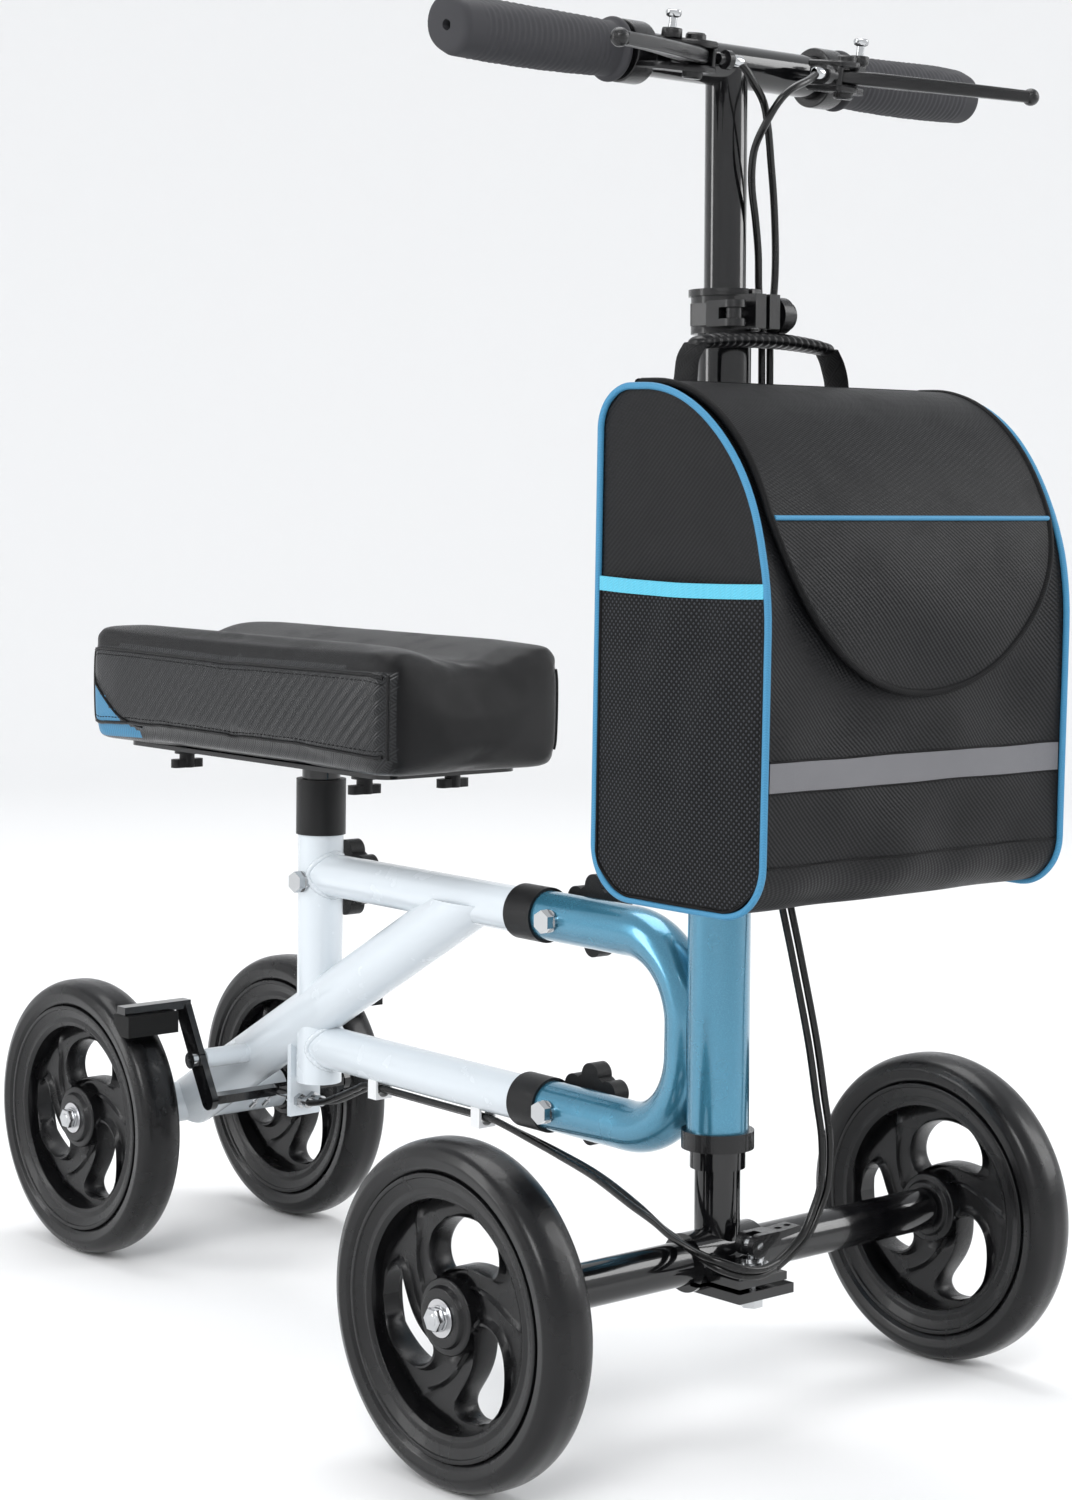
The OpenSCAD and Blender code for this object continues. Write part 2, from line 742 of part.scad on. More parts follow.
// Cap on the steering tube with the two ears of the folding hinge
module hinge_base() {
    color("black") on_steer() difference() {
        union() {
            zrod(base_disc_h, base_disc_h + base_disc_t, 0, 0, 40);
            zrod(base_disc_h - 24, base_disc_h, 0, 0, steerer_d - 4);
            for (s = [-1, 1]) {
                x0 = s < 0 ? -ear_x - ear_t : ear_x;
                xrod(x0, x0 + ear_t, 0, fold_h, 2 * ear_r);
                span_box([x0, -ear_r, base_disc_h + base_disc_t - 1],
                    [x0 + ear_t, ear_r, fold_h]);
            }
        }
        xrod(-40, 40, 0, fold_h, fold_pin_d);
    }
}

fold_eye_x = -30;

// Hinge pin with the eye for its quick-release lever and a nut on the other end
module hinge_pin() {
    far = ear_x + ear_t;
    color("silver") on_steer() translate([0, 0, fold_h]) {
        translate([fold_eye_x, 0, 0]) rotate([0, -90, 0]) rotate([90, 0, 0])
            skewer_eye(-fold_eye_x - far + 1);
        xrod(-far, far + 5, 0, 0, fold_pin_d);
        translate([far, 0, 0]) hex(3.5, 13);
    }
}

module fold_lock_lever() {
    color("black") on_steer() translate([fold_eye_x, 0, fold_h]) rotate([0, -90, 0])
        rotate([90, 0, 0]) mirror([1, 0, 0]) cam_lever(46, false);
}

module steering_cables() {
    color("black") for (s = [-1, 1]) cable(pair(steer_route, s), cable_d);
}

module loop_cables() {
    color("black") for (s = [-1, 1]) cable(pair(loop_route, s), cable_d);
}

// ---------- column ----------

// Column tube with the tongue of the folding hinge at its foot
module column_tube() {
    color("black") on_steer() difference() {
        union() {
            zrod(column_h, column_top, 0, 0, column_d);
            xrod(-tongue_w / 2, tongue_w / 2, 0, fold_h, 2 * ear_r);
            span_box([-tongue_w / 2, -ear_r, fold_h], [tongue_w / 2, ear_r, column_h + 12]);
        }
        zrod(column_h + 14, column_top + 1, 0, 0, bar_d + 2 * slide_gap);
        xrod(-40, 40, 0, fold_h, fold_pin_d + 2 * running_gap);
    }
}

// Split clamp at the top of the column tube
module height_clamp() {
    ear_front = skewer_y - 9;
    color("black") on_steer() difference() {
        union() {
            zrod(clamp_h, clamp_h + clamp_len, 0, 0, clamp_d);
            zrod(clamp_h + clamp_len, clamp_h + clamp_len + 4, 0, 0, clamp_d + 3);
            for (s = [-1, 1]) span_box([s < 0 ? -10 : 1.5, ear_front, clamp_h + 2],
                [s < 0 ? -1.5 : 10, -8, clamp_h + clamp_len]);
        }
        zrod(clamp_h - 1, column_top, 0, 0, column_d);
        zrod(clamp_h, clamp_h + 60, 0, 0, bar_d + 2 * slide_gap);
        span_box([-1.5, -60, clamp_h - 1], [1.5, 0, clamp_h + clamp_len + 5]);
        xrod(-30, 30, skewer_y, skewer_h, skewer_d);
    }
}

height_eye_x = -19;

// Skewer of the height clamp with its round nut
module height_skewer() {
    color("black") on_steer() translate([0, skewer_y, skewer_h]) {
        translate([height_eye_x, 0, 0]) rotate([0, 0, 90]) skewer_eye(-height_eye_x);
        xrod(-1, 14, 0, 0, skewer_d);
        xrod(10.2, 14, 0, 0, 13);
        xrod(13, 21, 0, 0, 21.5);
        xrod(21, 25, 0, 0, 17);
    }
}

module height_lever() {
    color("black") on_steer() translate([height_eye_x, skewer_y, skewer_h]) rotate([0, 0, 90])
        cam_lever(28, false);
}

bag_top = bag_z + bag_h;
bag_front = bag_back - bag_depth;
bag_arc_z = 488;

function arc(c, r, a0, a1, n) = [for (i = [0 : n])
    c + r * [cos(a0 + (a1 - a0) * i / n), sin(a0 + (a1 - a0) * i / n)]];

// Side outline of the bag as [y, z], drawn in by inset on every side
function bag_outline(inset) = let (
    r_low = 30, r_back = 24, r_top = bag_top - bag_arc_z, b = bag_back, f = bag_front)
    concat(
        arc([b - r_low, bag_z + r_low], r_low - inset, 0, -90, 6),
        arc([f + r_low, bag_z + r_low], r_low - inset, -90, -180, 6),
        [for (i = [0 : 12]) let (a = 180 - 90 * i / 12)
            [f + r_top * 0.75 + (r_top * 0.75 - inset) * cos(a),
                bag_arc_z + (r_top - inset) * sin(a)]],
        arc([b - r_back, bag_top - r_back], r_back - inset, 90, 0, 5));

// A side outline stretched across the width of the bag
module across(outline, half) {
    translate([-half, 0, 0]) rotate([90, 0, 90]) linear_extrude(height = 2 * half)
        polygon(outline);
}

mouth_half = 100;

// Bag shell with its mouth at the top and front, under the flap
module bag_body() {
    color("darkslategray") difference() {
        across(bag_outline(0), bag_w / 2);
        across(bag_outline(bag_wall), bag_w / 2 - bag_wall);
        span_box([-mouth_half, bag_front - 10, 548], [mouth_half, bag_back - 36, bag_top + 10]);
    }
}

flap_half = 116;
flap_hinge_y = bag_back - 20;
flap_low = 452;

// Flap over the top and front of the bag with a round lower edge
module bag_flap() {
    color("black") intersection() {
        difference() {
            across(bag_outline(-flap_gap - flap_t), flap_half);
            across(bag_outline(-flap_gap), flap_half + 1);
            span_box([-150, flap_hinge_y, 300], [150, 100, 700]);
            span_box([-150, bag_front + 60, 300], [150, 100, 560]);
        }
        translate([0, 100, 0]) rotate([90, 0, 0]) linear_extrude(height = 700) {
            translate([0, flap_low + flap_half]) circle(r = flap_half);
            translate([-flap_half, flap_low + flap_half]) square([2 * flap_half, 200]);
        }
    }
}

handle_half = 56;
handle_z = 650;
handle_y = bag_back - 3;
handle_w = 20;

// Carry handle with its webbing legs, and the two loops that hold the bag on the column
module bag_webbing() {
    handle_r = 420;
    color("black") {
        difference() {
            union() {
                intersection() {
                    span_box([-handle_half, handle_y - handle_w / 2, 600],
                        [handle_half, handle_y + handle_w / 2, 700]);
                    difference() {
                        yrod(handle_y - 40, handle_y + 40, 0, handle_z - handle_r,
                            2 * handle_r + 8);
                        yrod(handle_y - 41, handle_y + 41, 0, handle_z - handle_r, 2 * handle_r);
                    }
                }
                for (s = [-1, 1]) span_box(
                    [s < 0 ? -handle_half - 2 : handle_half, handle_y - handle_w / 2, 585],
                    [s < 0 ? -handle_half : handle_half + 2, handle_y + handle_w / 2, handle_z]);
            }
            across(bag_outline(-0.2), bag_w / 2 + 1);
        }
        for (h = [330, 450]) difference() {
            union() {
                on_steer() zrod(h, h + 25, 0, 0, column_d + 4);
                intersection() {
                    on_steer() span_box([-14, -40, h], [14, 0, h + 25]);
                    span_box([-20, bag_back, 300], [20, 0, 700]);
                }
            }
            on_steer() zrod(h - 1, h + 60, 0, 0, column_d);
        }
    }
}

// ---------- handlebar ----------

// Post and cross tube welded into a T
module handlebar() {
    color("black") on_steer() {
        difference() {
            union() {
                zrod(post_foot, bar_h, 0, 0, bar_d);
                xrod(-bar_len / 2, bar_len / 2, 0, bar_h, bar_d);
            }
            zrod(post_foot - 1, bar_h - bar_d / 2, 0, 0, bar_d - 4);
            xrod(-bar_len, bar_len, 0, bar_h, bar_d - 4);
        }
    }
}

grip_in = 90;
grip_d = 34;
grip_end = 4;

module grips() {
    color("black") on_steer() translate([0, 0, bar_h]) both_sides() difference() {
        union() {
            xrod(grip_in, bar_len / 2 + grip_end, 0, 0, grip_d);
            xrod(grip_in, grip_in + 5, 0, 0, grip_d + 5);
        }
        xrod(grip_in - 1, bar_len / 2, 0, 0, bar_d);
    }
}

lever_x = 62;
lever_y = -37;
blade_t = 9;
pin_x = 77;
pin_y = -33;
ferrule_y = -42;

// Places its children on a brake lever: -1 for the right hand, 1 for the left
module lever_frame(side) {
    on_steer() translate([0, 0, bar_h]) mirror([side < 0 ? 1 : 0, 0, 0])
        rotate([lever_droop, 0, 0]) children();
}

// Clamp, body, pivot pin and cable adjuster of one brake lever
module lever_body() {
    difference() {
        union() {
            xrod(71, 87, 0, 0, 36);
            translate([0, 0, 5]) linear_extrude(height = 4) {
                link([lever_x, lever_y], [79, -20], 20, 18);
                link([lever_x, lever_y], [pin_x, pin_y], 20, 13);
            }
            translate([0, 0, -9]) linear_extrude(height = 4)
                link([lever_x, lever_y], [79, -20], 20, 18);
            translate([0, 0, -9]) linear_extrude(height = 18) link([48, -24], [79, -22], 8, 8);
            span_box([46, -46, -9], [53, -24, 9]);
            zrod(5, 14, pin_x, pin_y, 12);
        }
        xrod(60, 100, 0, 0, bar_d);
        zrod(0, 30, pin_x, pin_y, 5 + 2 * running_gap);
        yrod(-60, 0, 49.5, 0, 2);
    }
    zrod(-11, 11, lever_x, lever_y, lever_pin_d);
    zrod(9, 12, lever_x, lever_y, 11);
    zrod(-12, -9, lever_x, lever_y, 11);
    translate([0, ferrule_y, 0]) difference() {
        union() {
            xrod(ferrule_x, 46, 0, 0, 6);
            xrod(ferrule_x + 3, ferrule_x + 7, 0, 0, 11);
        }
        xrod(ferrule_x - 1, 44, 0, 0, 2);
    }
}

module lever_bodies() {
    color("black") for (s = [-1, 1]) lever_frame(s) lever_body();
}

// Pressed blade of a brake lever with a ball at its tip
module lever_blade(side) {
    color("black") lever_frame(side) difference() {
        union() {
            translate([0, 0, -blade_t / 2]) linear_extrude(height = blade_t) {
                strap([lever_x, lever_y], [92, -56], 17, 15);
                strap([92, -56], [128, -76], 14.6, 11);
                strap([128, -76], [166, -90], 10.6, 9);
            }
            translate([168, -91, 0]) sphere(d = 10);
        }
        zrod(-20, 20, lever_x, lever_y, lever_pin_d + 2 * running_gap);
    }
}

module lever_blade_left() {
    lever_blade(1);
}

module lever_blade_right() {
    lever_blade(-1);
}

// Sprung pin that holds a squeezed lever for parking
module parking_pin(side) {
    color("silver") lever_frame(side) {
        zrod(9.5, 21, pin_x, pin_y, 5);
        zrod(20, 24, pin_x, pin_y, 9);
    }
}

module parking_pin_left() {
    parking_pin(1);
}

module parking_pin_right() {
    parking_pin(-1);
}

module bar_cables() {
    color("black") {
        cable(concat(right_bar_route, [pair(loop_route, 1)[0] + [0, 0, 0.7]]), cable_d);
        cable(concat(left_bar_route, [pair(loop_route, -1)[0] + [0, 0, 0.7]]), cable_d);
    }
}

// ---------- brake ----------

bar_t = 5;
arm_x = brake_tube_end + 1;
strap_w = 14;
pad_gap = 3;
low_y = -15;
low_z = -27;
high_y = 18;
high_z = 34;

// Bar that swings on the cross tube: lower cross piece, two arms and two outward ends
module brake_bar() {
    color("black") translate([0, brake_y, brake_z]) difference() {
        union() {
            for (s = [0, 1]) mirror([s, 0, 0]) {
                translate([arm_x + 0.3, 0, 0]) rotate([90, 0, 90])
                    linear_extrude(height = bar_t) {
                        strap([low_y, low_z], [0, 0], strap_w, strap_w);
                        strap([0, 0], [high_y, high_z], strap_w - 0.4, strap_w - 0.4);
                    }
                span_box([arm_x + 0.3, high_y - 5, high_z + 1], [112, high_y + 5, high_z + 7]);
            }
            span_box([-arm_x - 1, low_y - 6, low_z - 2.5], [arm_x + 1, low_y + 6, low_z + 3.5]);
        }
        xrod(-80, 80, 0, 0, axle_bolt_d + 2 * running_gap);
    }
}

// Rubber shoes shaped to the tyres, held under the outward ends of the bar
module brake_pads() {
    half = tyre_w / 2 + 4;
    color("black") difference() {
        for (s = [-1, 1]) span_box(
            [s * rear_track / 2 - half, brake_y + high_y - 11, brake_z + high_z - 14],
            [s * rear_track / 2 + half, brake_y + high_y + 8, brake_z + high_z + 1]);
        xrod(-200, 200, rear_y, axle_z, wheel_d + 2 * pad_gap);
    }
}

// Inner wires from the adjusters to the bar, with their crimped ends
module brake_wires() {
    end = [0, brake_y + low_y + 7, adjuster_z];
    color("silver") for (s = [-1, 1]) translate([s * adjuster_x, 0, 0]) {
        yrod(tab_y - 2, brake_y + low_y - 6, 0, adjuster_z, wire_d);
        translate(end) rotate([-130, 0, 0]) cylinder(h = 18, d = wire_d);
        translate(end) rotate([-130, 0, 0]) translate([0, 0, 16]) cylinder(h = 7, d = 3.5);
    }
}

// ---------- wheels ----------

web_r = rim_d / 2 - 14;
hub_r = 21;
swirl = 38;

// Tyre with round shoulders, spinning on X
module tyre() {
    depth = wheel_r - rim_d / 2;
    rotate([0, 90, 0]) rotate_extrude() translate([wheel_r - depth / 2, 0])
        round_rect(depth, tyre_w, min(tyre_shoulder * 0.7, depth * 0.45));
}

// Outline of one window between two curved spokes
function window() = let (
    r0 = hub_r + 5, r1 = web_r - 2, half = 34, n = 9)
    concat(
        [for (i = [0 : n]) let (t = i / n, r = r0 + (r1 - r0) * t,
            a = swirl * sin(90 * t) - half * sin(90 * min(1, 0.25 + t)))
            r * [cos(a), sin(a)]],
        [for (i = [n : -1 : 0]) let (t = i / n, r = r0 + (r1 - r0) * t,
            a = swirl * sin(90 * t) + half * sin(90 * min(1, 0.25 + t)) * 1.15)
            r * [cos(a), sin(a)]]);

// Rim with its hub, three windows and the bore for two bearings
module rim() {
    rotate([0, 90, 0]) difference() {
        union() {
            translate([0, 0, -14]) ring(28, rim_d - 0.2, 2 * web_r);
            translate([0, 0, -5]) cylinder(h = 10, r = web_r + 1);
            translate([0, 0, -hub_half]) cylinder(h = hub_w, r = hub_r);
        }
        translate([0, 0, -30]) cylinder(h = 60, d = bearing_d);
        for (k = [0 : 2]) rotate(120 * k) translate([0, 0, -8]) linear_extrude(height = 16)
            polygon(window());
    }
}

module front_wheel(side) {
    translate([side * front_track / 2, front_y, axle_z]) children();
}

module rear_wheel(side) {
    translate([side * rear_track / 2, rear_y, axle_z]) children();
}

module tyre_front_left() {
    color("dimgray") front_wheel(1) tyre();
}

module rim_front_left() {
    color("black") front_wheel(1) rim();
}

module tyre_front_right() {
    color("dimgray") front_wheel(-1) tyre();
}

module rim_front_right() {
    color("black") front_wheel(-1) rim();
}

module tyre_rear_left() {
    color("dimgray") rear_wheel(1) tyre();
}

module rim_rear_left() {
    color("black") rear_wheel(1) rim();
}

module tyre_rear_right() {
    color("dimgray") rear_wheel(-1) tyre();
}

module rim_rear_right() {
    color("black") rear_wheel(-1) rim();
}

seat_tube();
top_arm();
lower_arm();
diagonal_tube();
rear_axle_tube();
brake_cross_tube();
bent_tube();
head_tube();
cable_bracket();
tube_collars();
frame_bolts();
rear_axle_bolts();
rear_wheel_bearings();
headset();
cable_clips();
cable_adjusters();
rear_cables();
seat_knob();
upper_frame_knob();
lower_frame_knob();
seat_post();
knee_pad();
pad_knobs();
steerer();
front_axle_tube();
front_axle_bolts();
front_wheel_bearings();
saddle_skewer();
saddle_lever();
hinge_base();
hinge_pin();
steering_cables();
loop_cables();
column_tube();
fold_lock_lever();
height_clamp();
height_skewer();
height_lever();
bag_body();
bag_flap();
bag_webbing();
handlebar();
grips();
lever_bodies();
lever_blade_left();
lever_blade_right();
parking_pin_left();
parking_pin_right();
bar_cables();
brake_bar();
brake_pads();
brake_wires();
tyre_front_left();
rim_front_left();
tyre_front_right();
rim_front_right();
tyre_rear_left();
rim_rear_left();
tyre_rear_right();
rim_rear_right();
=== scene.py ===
"""Knee scooter: the fabric, rubber, wheels, cables and finishes built round the fixed frame."""

import json
import logging
import math
from dataclasses import dataclass, field
from enum import Enum
from typing import Callable, Sequence

import bmesh
import bpy
import numpy as np
from mathutils import Matrix, Vector
from mathutils.bvhtree import BVHTree


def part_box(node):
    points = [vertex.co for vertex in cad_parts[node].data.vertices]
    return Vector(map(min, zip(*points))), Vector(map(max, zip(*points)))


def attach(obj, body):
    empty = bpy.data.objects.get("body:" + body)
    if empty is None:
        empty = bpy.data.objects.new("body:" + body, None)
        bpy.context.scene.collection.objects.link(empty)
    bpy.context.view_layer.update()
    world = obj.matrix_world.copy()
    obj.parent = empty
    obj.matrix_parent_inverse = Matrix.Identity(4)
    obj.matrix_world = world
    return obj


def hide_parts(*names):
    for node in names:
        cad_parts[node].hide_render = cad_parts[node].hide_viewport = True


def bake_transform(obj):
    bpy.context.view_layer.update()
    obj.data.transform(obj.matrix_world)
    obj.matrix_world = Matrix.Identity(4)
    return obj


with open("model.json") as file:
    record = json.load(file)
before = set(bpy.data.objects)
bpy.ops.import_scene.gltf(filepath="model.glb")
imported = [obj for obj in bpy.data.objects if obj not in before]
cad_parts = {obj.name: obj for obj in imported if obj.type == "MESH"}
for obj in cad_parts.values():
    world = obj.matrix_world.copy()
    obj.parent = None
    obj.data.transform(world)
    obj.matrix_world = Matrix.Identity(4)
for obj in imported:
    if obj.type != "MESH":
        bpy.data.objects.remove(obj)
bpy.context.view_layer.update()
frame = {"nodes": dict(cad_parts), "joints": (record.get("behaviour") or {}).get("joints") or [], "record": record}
LOG = logging.getLogger("knee_scooter")
MM = 0.001
FLOOR_GAP = 0.0002
"""Distance of the studio's floor below the tyres, in metres."""


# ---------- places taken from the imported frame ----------


@dataclass(frozen=True)
class Steering:
    """The raked axis of the steering: origin at the front axle, heights along the column."""

    origin: tuple[float, float, float]
    axis: tuple[float, float, float]

    def at(self, points: np.ndarray) -> np.ndarray:
        """Points given as x, y, height on the raked axis, moved into the frame of the object.

        Args:
            points: array of shape (..., 3) in metres.

        Returns:
            The same points in the object's frame.
        """
        sine, cosine = self.axis[1], self.axis[2]
        p = np.asarray(points, float)
        y = p[..., 1] * cosine + p[..., 2] * sine
        z = p[..., 2] * cosine - p[..., 1] * sine
        return np.stack([p[..., 0], y, z], -1) + np.array(self.origin)


def joint(name: str) -> dict:
    """The record's joint of that name."""
    return next(j for j in frame["joints"] if j["name"] == name)


def middle(node: str) -> Vector:
    """Middle of a node's box."""
    low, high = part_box(node)
    return (low + high) / 2


STEER = Steering(tuple(joint("steering_turn")["pos_m"]), tuple(joint("steering_turn")["axis"]))


BAR_H = 0.712108
"""Height of the handlebar's middle line on the raked axis, at rest."""


# ---------- surfaces ----------


@dataclass
class Shape:
    """A mesh in the making: points and faces, which add up to one piece."""

    points: np.ndarray
    faces: list

    def __add__(self, other: "Shape") -> "Shape":
        """Both shapes as one."""
        moved = [tuple(i + len(self.points) for i in f) for f in other.faces]
        return Shape(np.vstack([self.points, other.points]), self.faces + moved)

    def moved(self, offset: Sequence[float]) -> "Shape":
        """The shape carried by an offset."""
        return Shape(self.points + np.asarray(offset, float), self.faces)

    def mapped(self, change: Callable[[np.ndarray], np.ndarray]) -> "Shape":
        """The shape with its points put through a function."""
        return Shape(change(self.points), self.faces)

    def mirrored(self) -> "Shape":
        """The shape on the other side of the middle plane, faces still outwards."""
        flipped = self.points * np.array([-1.0, 1.0, 1.0])
        return Shape(flipped, [tuple(reversed(f)) for f in self.faces])


def nothing() -> Shape:
    """A shape with no points yet, to add others to."""
    return Shape(np.zeros((0, 3)), [])


def lattice(points: np.ndarray, around: bool = False, along: bool = False, caps: bool = False) -> Shape:
    """Quads over a grid of points.

    Args:
        points: array of shape (rows, columns, 3).
        around: whether the last column joins the first.
        along: whether the last row joins the first.
        caps: whether the first and last rows get a flat face each.

    Returns:
        The shape.
    """
    rows, cols = points.shape[:2]
    i, j = np.meshgrid(
        np.arange(rows if along else rows - 1), np.arange(cols if around else cols - 1), indexing="ij"
    )
    i, j = i.ravel(), j.ravel()
    n, m = (i + 1) % rows, (j + 1) % cols
    quads = np.stack([i * cols + j, i * cols + m, n * cols + m, n * cols + j], -1)
    faces = [tuple(int(v) for v in q) for q in quads]
    if caps:
        faces.append(tuple(range(cols - 1, -1, -1)))
        faces.append(tuple(range((rows - 1) * cols, rows * cols)))
    return Shape(points.reshape(-1, 3), faces)


def directions(path: np.ndarray, closed: bool = False) -> np.ndarray:
    """Unit tangents of a path: the difference of each point's neighbours."""
    if closed:
        step = np.roll(path, -1, 0) - np.roll(path, 1, 0)
    else:
        step = np.gradient(path, axis=0)
    return step / np.linalg.norm(step, axis=1, keepdims=True)


def smooth_path(points: Sequence[Sequence[float]], spacing: float, closed: bool = False) -> np.ndarray:
    """A Catmull-Rom curve through the points, resampled at an even spacing.

    Args:
        points: the points that the curve passes.
        spacing: distance between samples, in metres.
        closed: whether the curve returns to its first point.

    Returns:
        Array of samples.
    """
    p = np.asarray(points, float)
    if closed:
        ends = np.vstack([p[-1], p, p[0], p[1]])
    else:
        ends = np.vstack([2 * p[0] - p[1], p, 2 * p[-1] - p[-2]])
    t = np.linspace(0, 1, 24, endpoint=False)[:, None]
    spans = []
    for a, b, c, d in zip(ends, ends[1:], ends[2:], ends[3:]):
        square, cube = 2 * a - 5 * b + 4 * c - d, 3 * b - a - 3 * c + d
        spans.append(0.5 * (2 * b + (c - a) * t + square * t**2 + cube * t**3))
    fine = np.vstack(spans + [p[:1] if closed else p[-1:]])
    length = np.concatenate([[0], np.cumsum(np.linalg.norm(np.diff(fine, axis=0), axis=1))])
    count = max(3, int(round(length[-1] / spacing)))
    at = np.linspace(0, length[-1], count + 1)
    even = np.stack([np.interp(at, length, fine[:, k]) for k in range(3)], -1)
    return even[:-1] if closed else even


def even_path(points: np.ndarray, spacing: float, closed: bool = False) -> np.ndarray:
    """The same line of straight steps, resampled at an even spacing."""
    p = np.vstack([points, points[:1]]) if closed else np.asarray(points, float)
    length = np.concatenate([[0], np.cumsum(np.linalg.norm(np.diff(p, axis=0), axis=1))])
    at = np.linspace(0, length[-1], max(3, int(round(length[-1] / spacing))) + 1)
    even = np.stack([np.interp(at, length, p[:, k]) for k in range(p.shape[1])], -1)
    return even[:-1] if closed else even


def sweep(path: np.ndarray, radius: float | np.ndarray, sides: int = 16, closed: bool = False,
          squeeze: tuple[float, float] = (1.0, 1.0), up: Sequence[float] = (0.31, 0.2, 0.93)) -> Shape:
    """A round or oval section carried along a path.

    Args:
        path: points of the centre line.
        radius: one radius, or one for each point.
        sides: points round the section.
        closed: whether the path is a loop.
        squeeze: factors on the section's two half axes.
        up: a direction that the path never follows.

    Returns:
        The closed tube.
    """
    t = directions(path, closed)
    side = np.cross(t, np.asarray(up, float))
    side /= np.linalg.norm(side, axis=1, keepdims=True)
    over = np.cross(t, side)
    angle = np.linspace(0, 2 * math.pi, sides, endpoint=False)
    r = np.broadcast_to(np.asarray(radius, float), (len(path),))[:, None, None]
    ring = (np.cos(angle)[None, :, None] * side[:, None] * squeeze[0]
            + np.sin(angle)[None, :, None] * over[:, None] * squeeze[1])
    return lattice(path[:, None] + r * ring, around=True, along=closed, caps=not closed)


def turned(profile: Sequence[tuple[float, float]], centre: Sequence[float], axis: Sequence[float],
           sides: int = 96, closed: bool = True) -> Shape:
    """A profile turned about an axis.

    Args:
        profile: pairs (distance from the axis, place along the axis), counter-clockwise round the section.
        centre: a point on the axis.
        axis: the axis.
        sides: steps round the axis.
        closed: whether the profile is a loop; else its ends lie on the axis.

    Returns:
        The turned shape.
    """
    a = np.asarray(axis, float) / np.linalg.norm(axis)
    helper = np.array([0, 0, 1.0]) if abs(a[2]) < 0.9 else np.array([1.0, 0, 0])
    u = np.cross(helper, a)
    u /= np.linalg.norm(u)
    v = np.cross(a, u)
    p = np.asarray(profile, float)
    angle = np.linspace(0, 2 * math.pi, sides, endpoint=False)
    spoke = np.cos(angle)[:, None] * u + np.sin(angle)[:, None] * v
    rings = p[None, :, :1] * spoke[:, None] + p[None, :, 1:] * a + np.asarray(centre, float)
    if closed:
        return lattice(rings, around=True, along=True)
    shape = lattice(rings[:, 1:-1], along=True)
    first, last = np.asarray(centre) + p[0, 1] * a, np.asarray(centre) + p[-1, 1] * a
    count, inner = sides, len(p) - 2
    points = np.vstack([shape.points, first, last])
    faces = list(shape.faces)
    for k in range(count):
        n = (k + 1) % count
        faces.append((count * inner, k * inner, n * inner))
        faces.append((count * inner + 1, n * inner + inner - 1, k * inner + inner - 1))
    return Shape(points, faces)


def rounded_corners(corners: Sequence[tuple[float, float, float]], steps: int = 5) -> list:
    """A closed outline with an arc at each corner.

    Args:
        corners: (x, y, radius) in order round the outline.
        steps: segments of each arc.

    Returns:
        List of (x, y).
    """
    out = []
    for k, (x, y, r) in enumerate(corners):
        p = np.array([x, y])
        a = np.array(corners[k - 1][:2]) - p
        b = np.array(corners[(k + 1) % len(corners)][:2]) - p
        if r == 0:
            out.append((x, y))
            continue
        a, b = a / np.linalg.norm(a), b / np.linalg.norm(b)
        half = math.acos(float(np.clip(a @ b, -1, 1))) / 2
        reach = r / math.tan(half)
        start, end = p + a * reach, p + b * reach
        hub = p + (a + b) / np.linalg.norm(a + b) * r / math.sin(half)
        s = start - hub
        e = end - hub
        total = math.atan2(s[0] * e[1] - s[1] * e[0], s @ e)
        for q in np.linspace(0, total, steps + 1):
            c, w = math.cos(q), math.sin(q)
            out.append((hub[0] + c * s[0] - w * s[1], hub[1] + w * s[0] + c * s[1]))
    return out


def extruded(outline: Sequence[tuple[float, float]], origin: Sequence[float], u: Sequence[float],
             v: Sequence[float], depth: float, chamfer: float = 0.0) -> Shape:
    """A flat outline given thickness, with chamfered rims.

    Args:
        outline: pairs in the plane of u and v.
        origin: where (0, 0) lies, on the back face.
        u: first direction.
        v: second direction.
        depth: thickness along u x v.
        chamfer: width of the chamfer on both rims.

    Returns:
        The closed prism.
    """
    p = np.asarray(outline, float)
    u, v = np.asarray(u, float), np.asarray(v, float)
    w = np.cross(u, v)
    centre = p.mean(0)
    span = np.abs(p - centre).max()
    small = centre + (p - centre) * (1 - chamfer / span)
    layers = [(p, 0.0), (p, depth)]
    if chamfer:
        layers = [(small, 0.0), (p, chamfer), (p, depth - chamfer), (small, depth)]
    rows = [q[:, :1] * u + q[:, 1:] * v + h * w for q, h in layers]
    return lattice(np.stack(rows) + np.asarray(origin, float), around=True, caps=True)


# ---------- shader groups shared by the finishes ----------


class Effect(Enum):
    """The shared surface effects, each one node group."""

    GRAIN = "fine_grain"
    TWILL = "twill_weave"
    RIBS = "crossed_ribs"
    DUST = "settled_dust"
    PEEL = "orange_peel"
    MESH = "open_mesh"


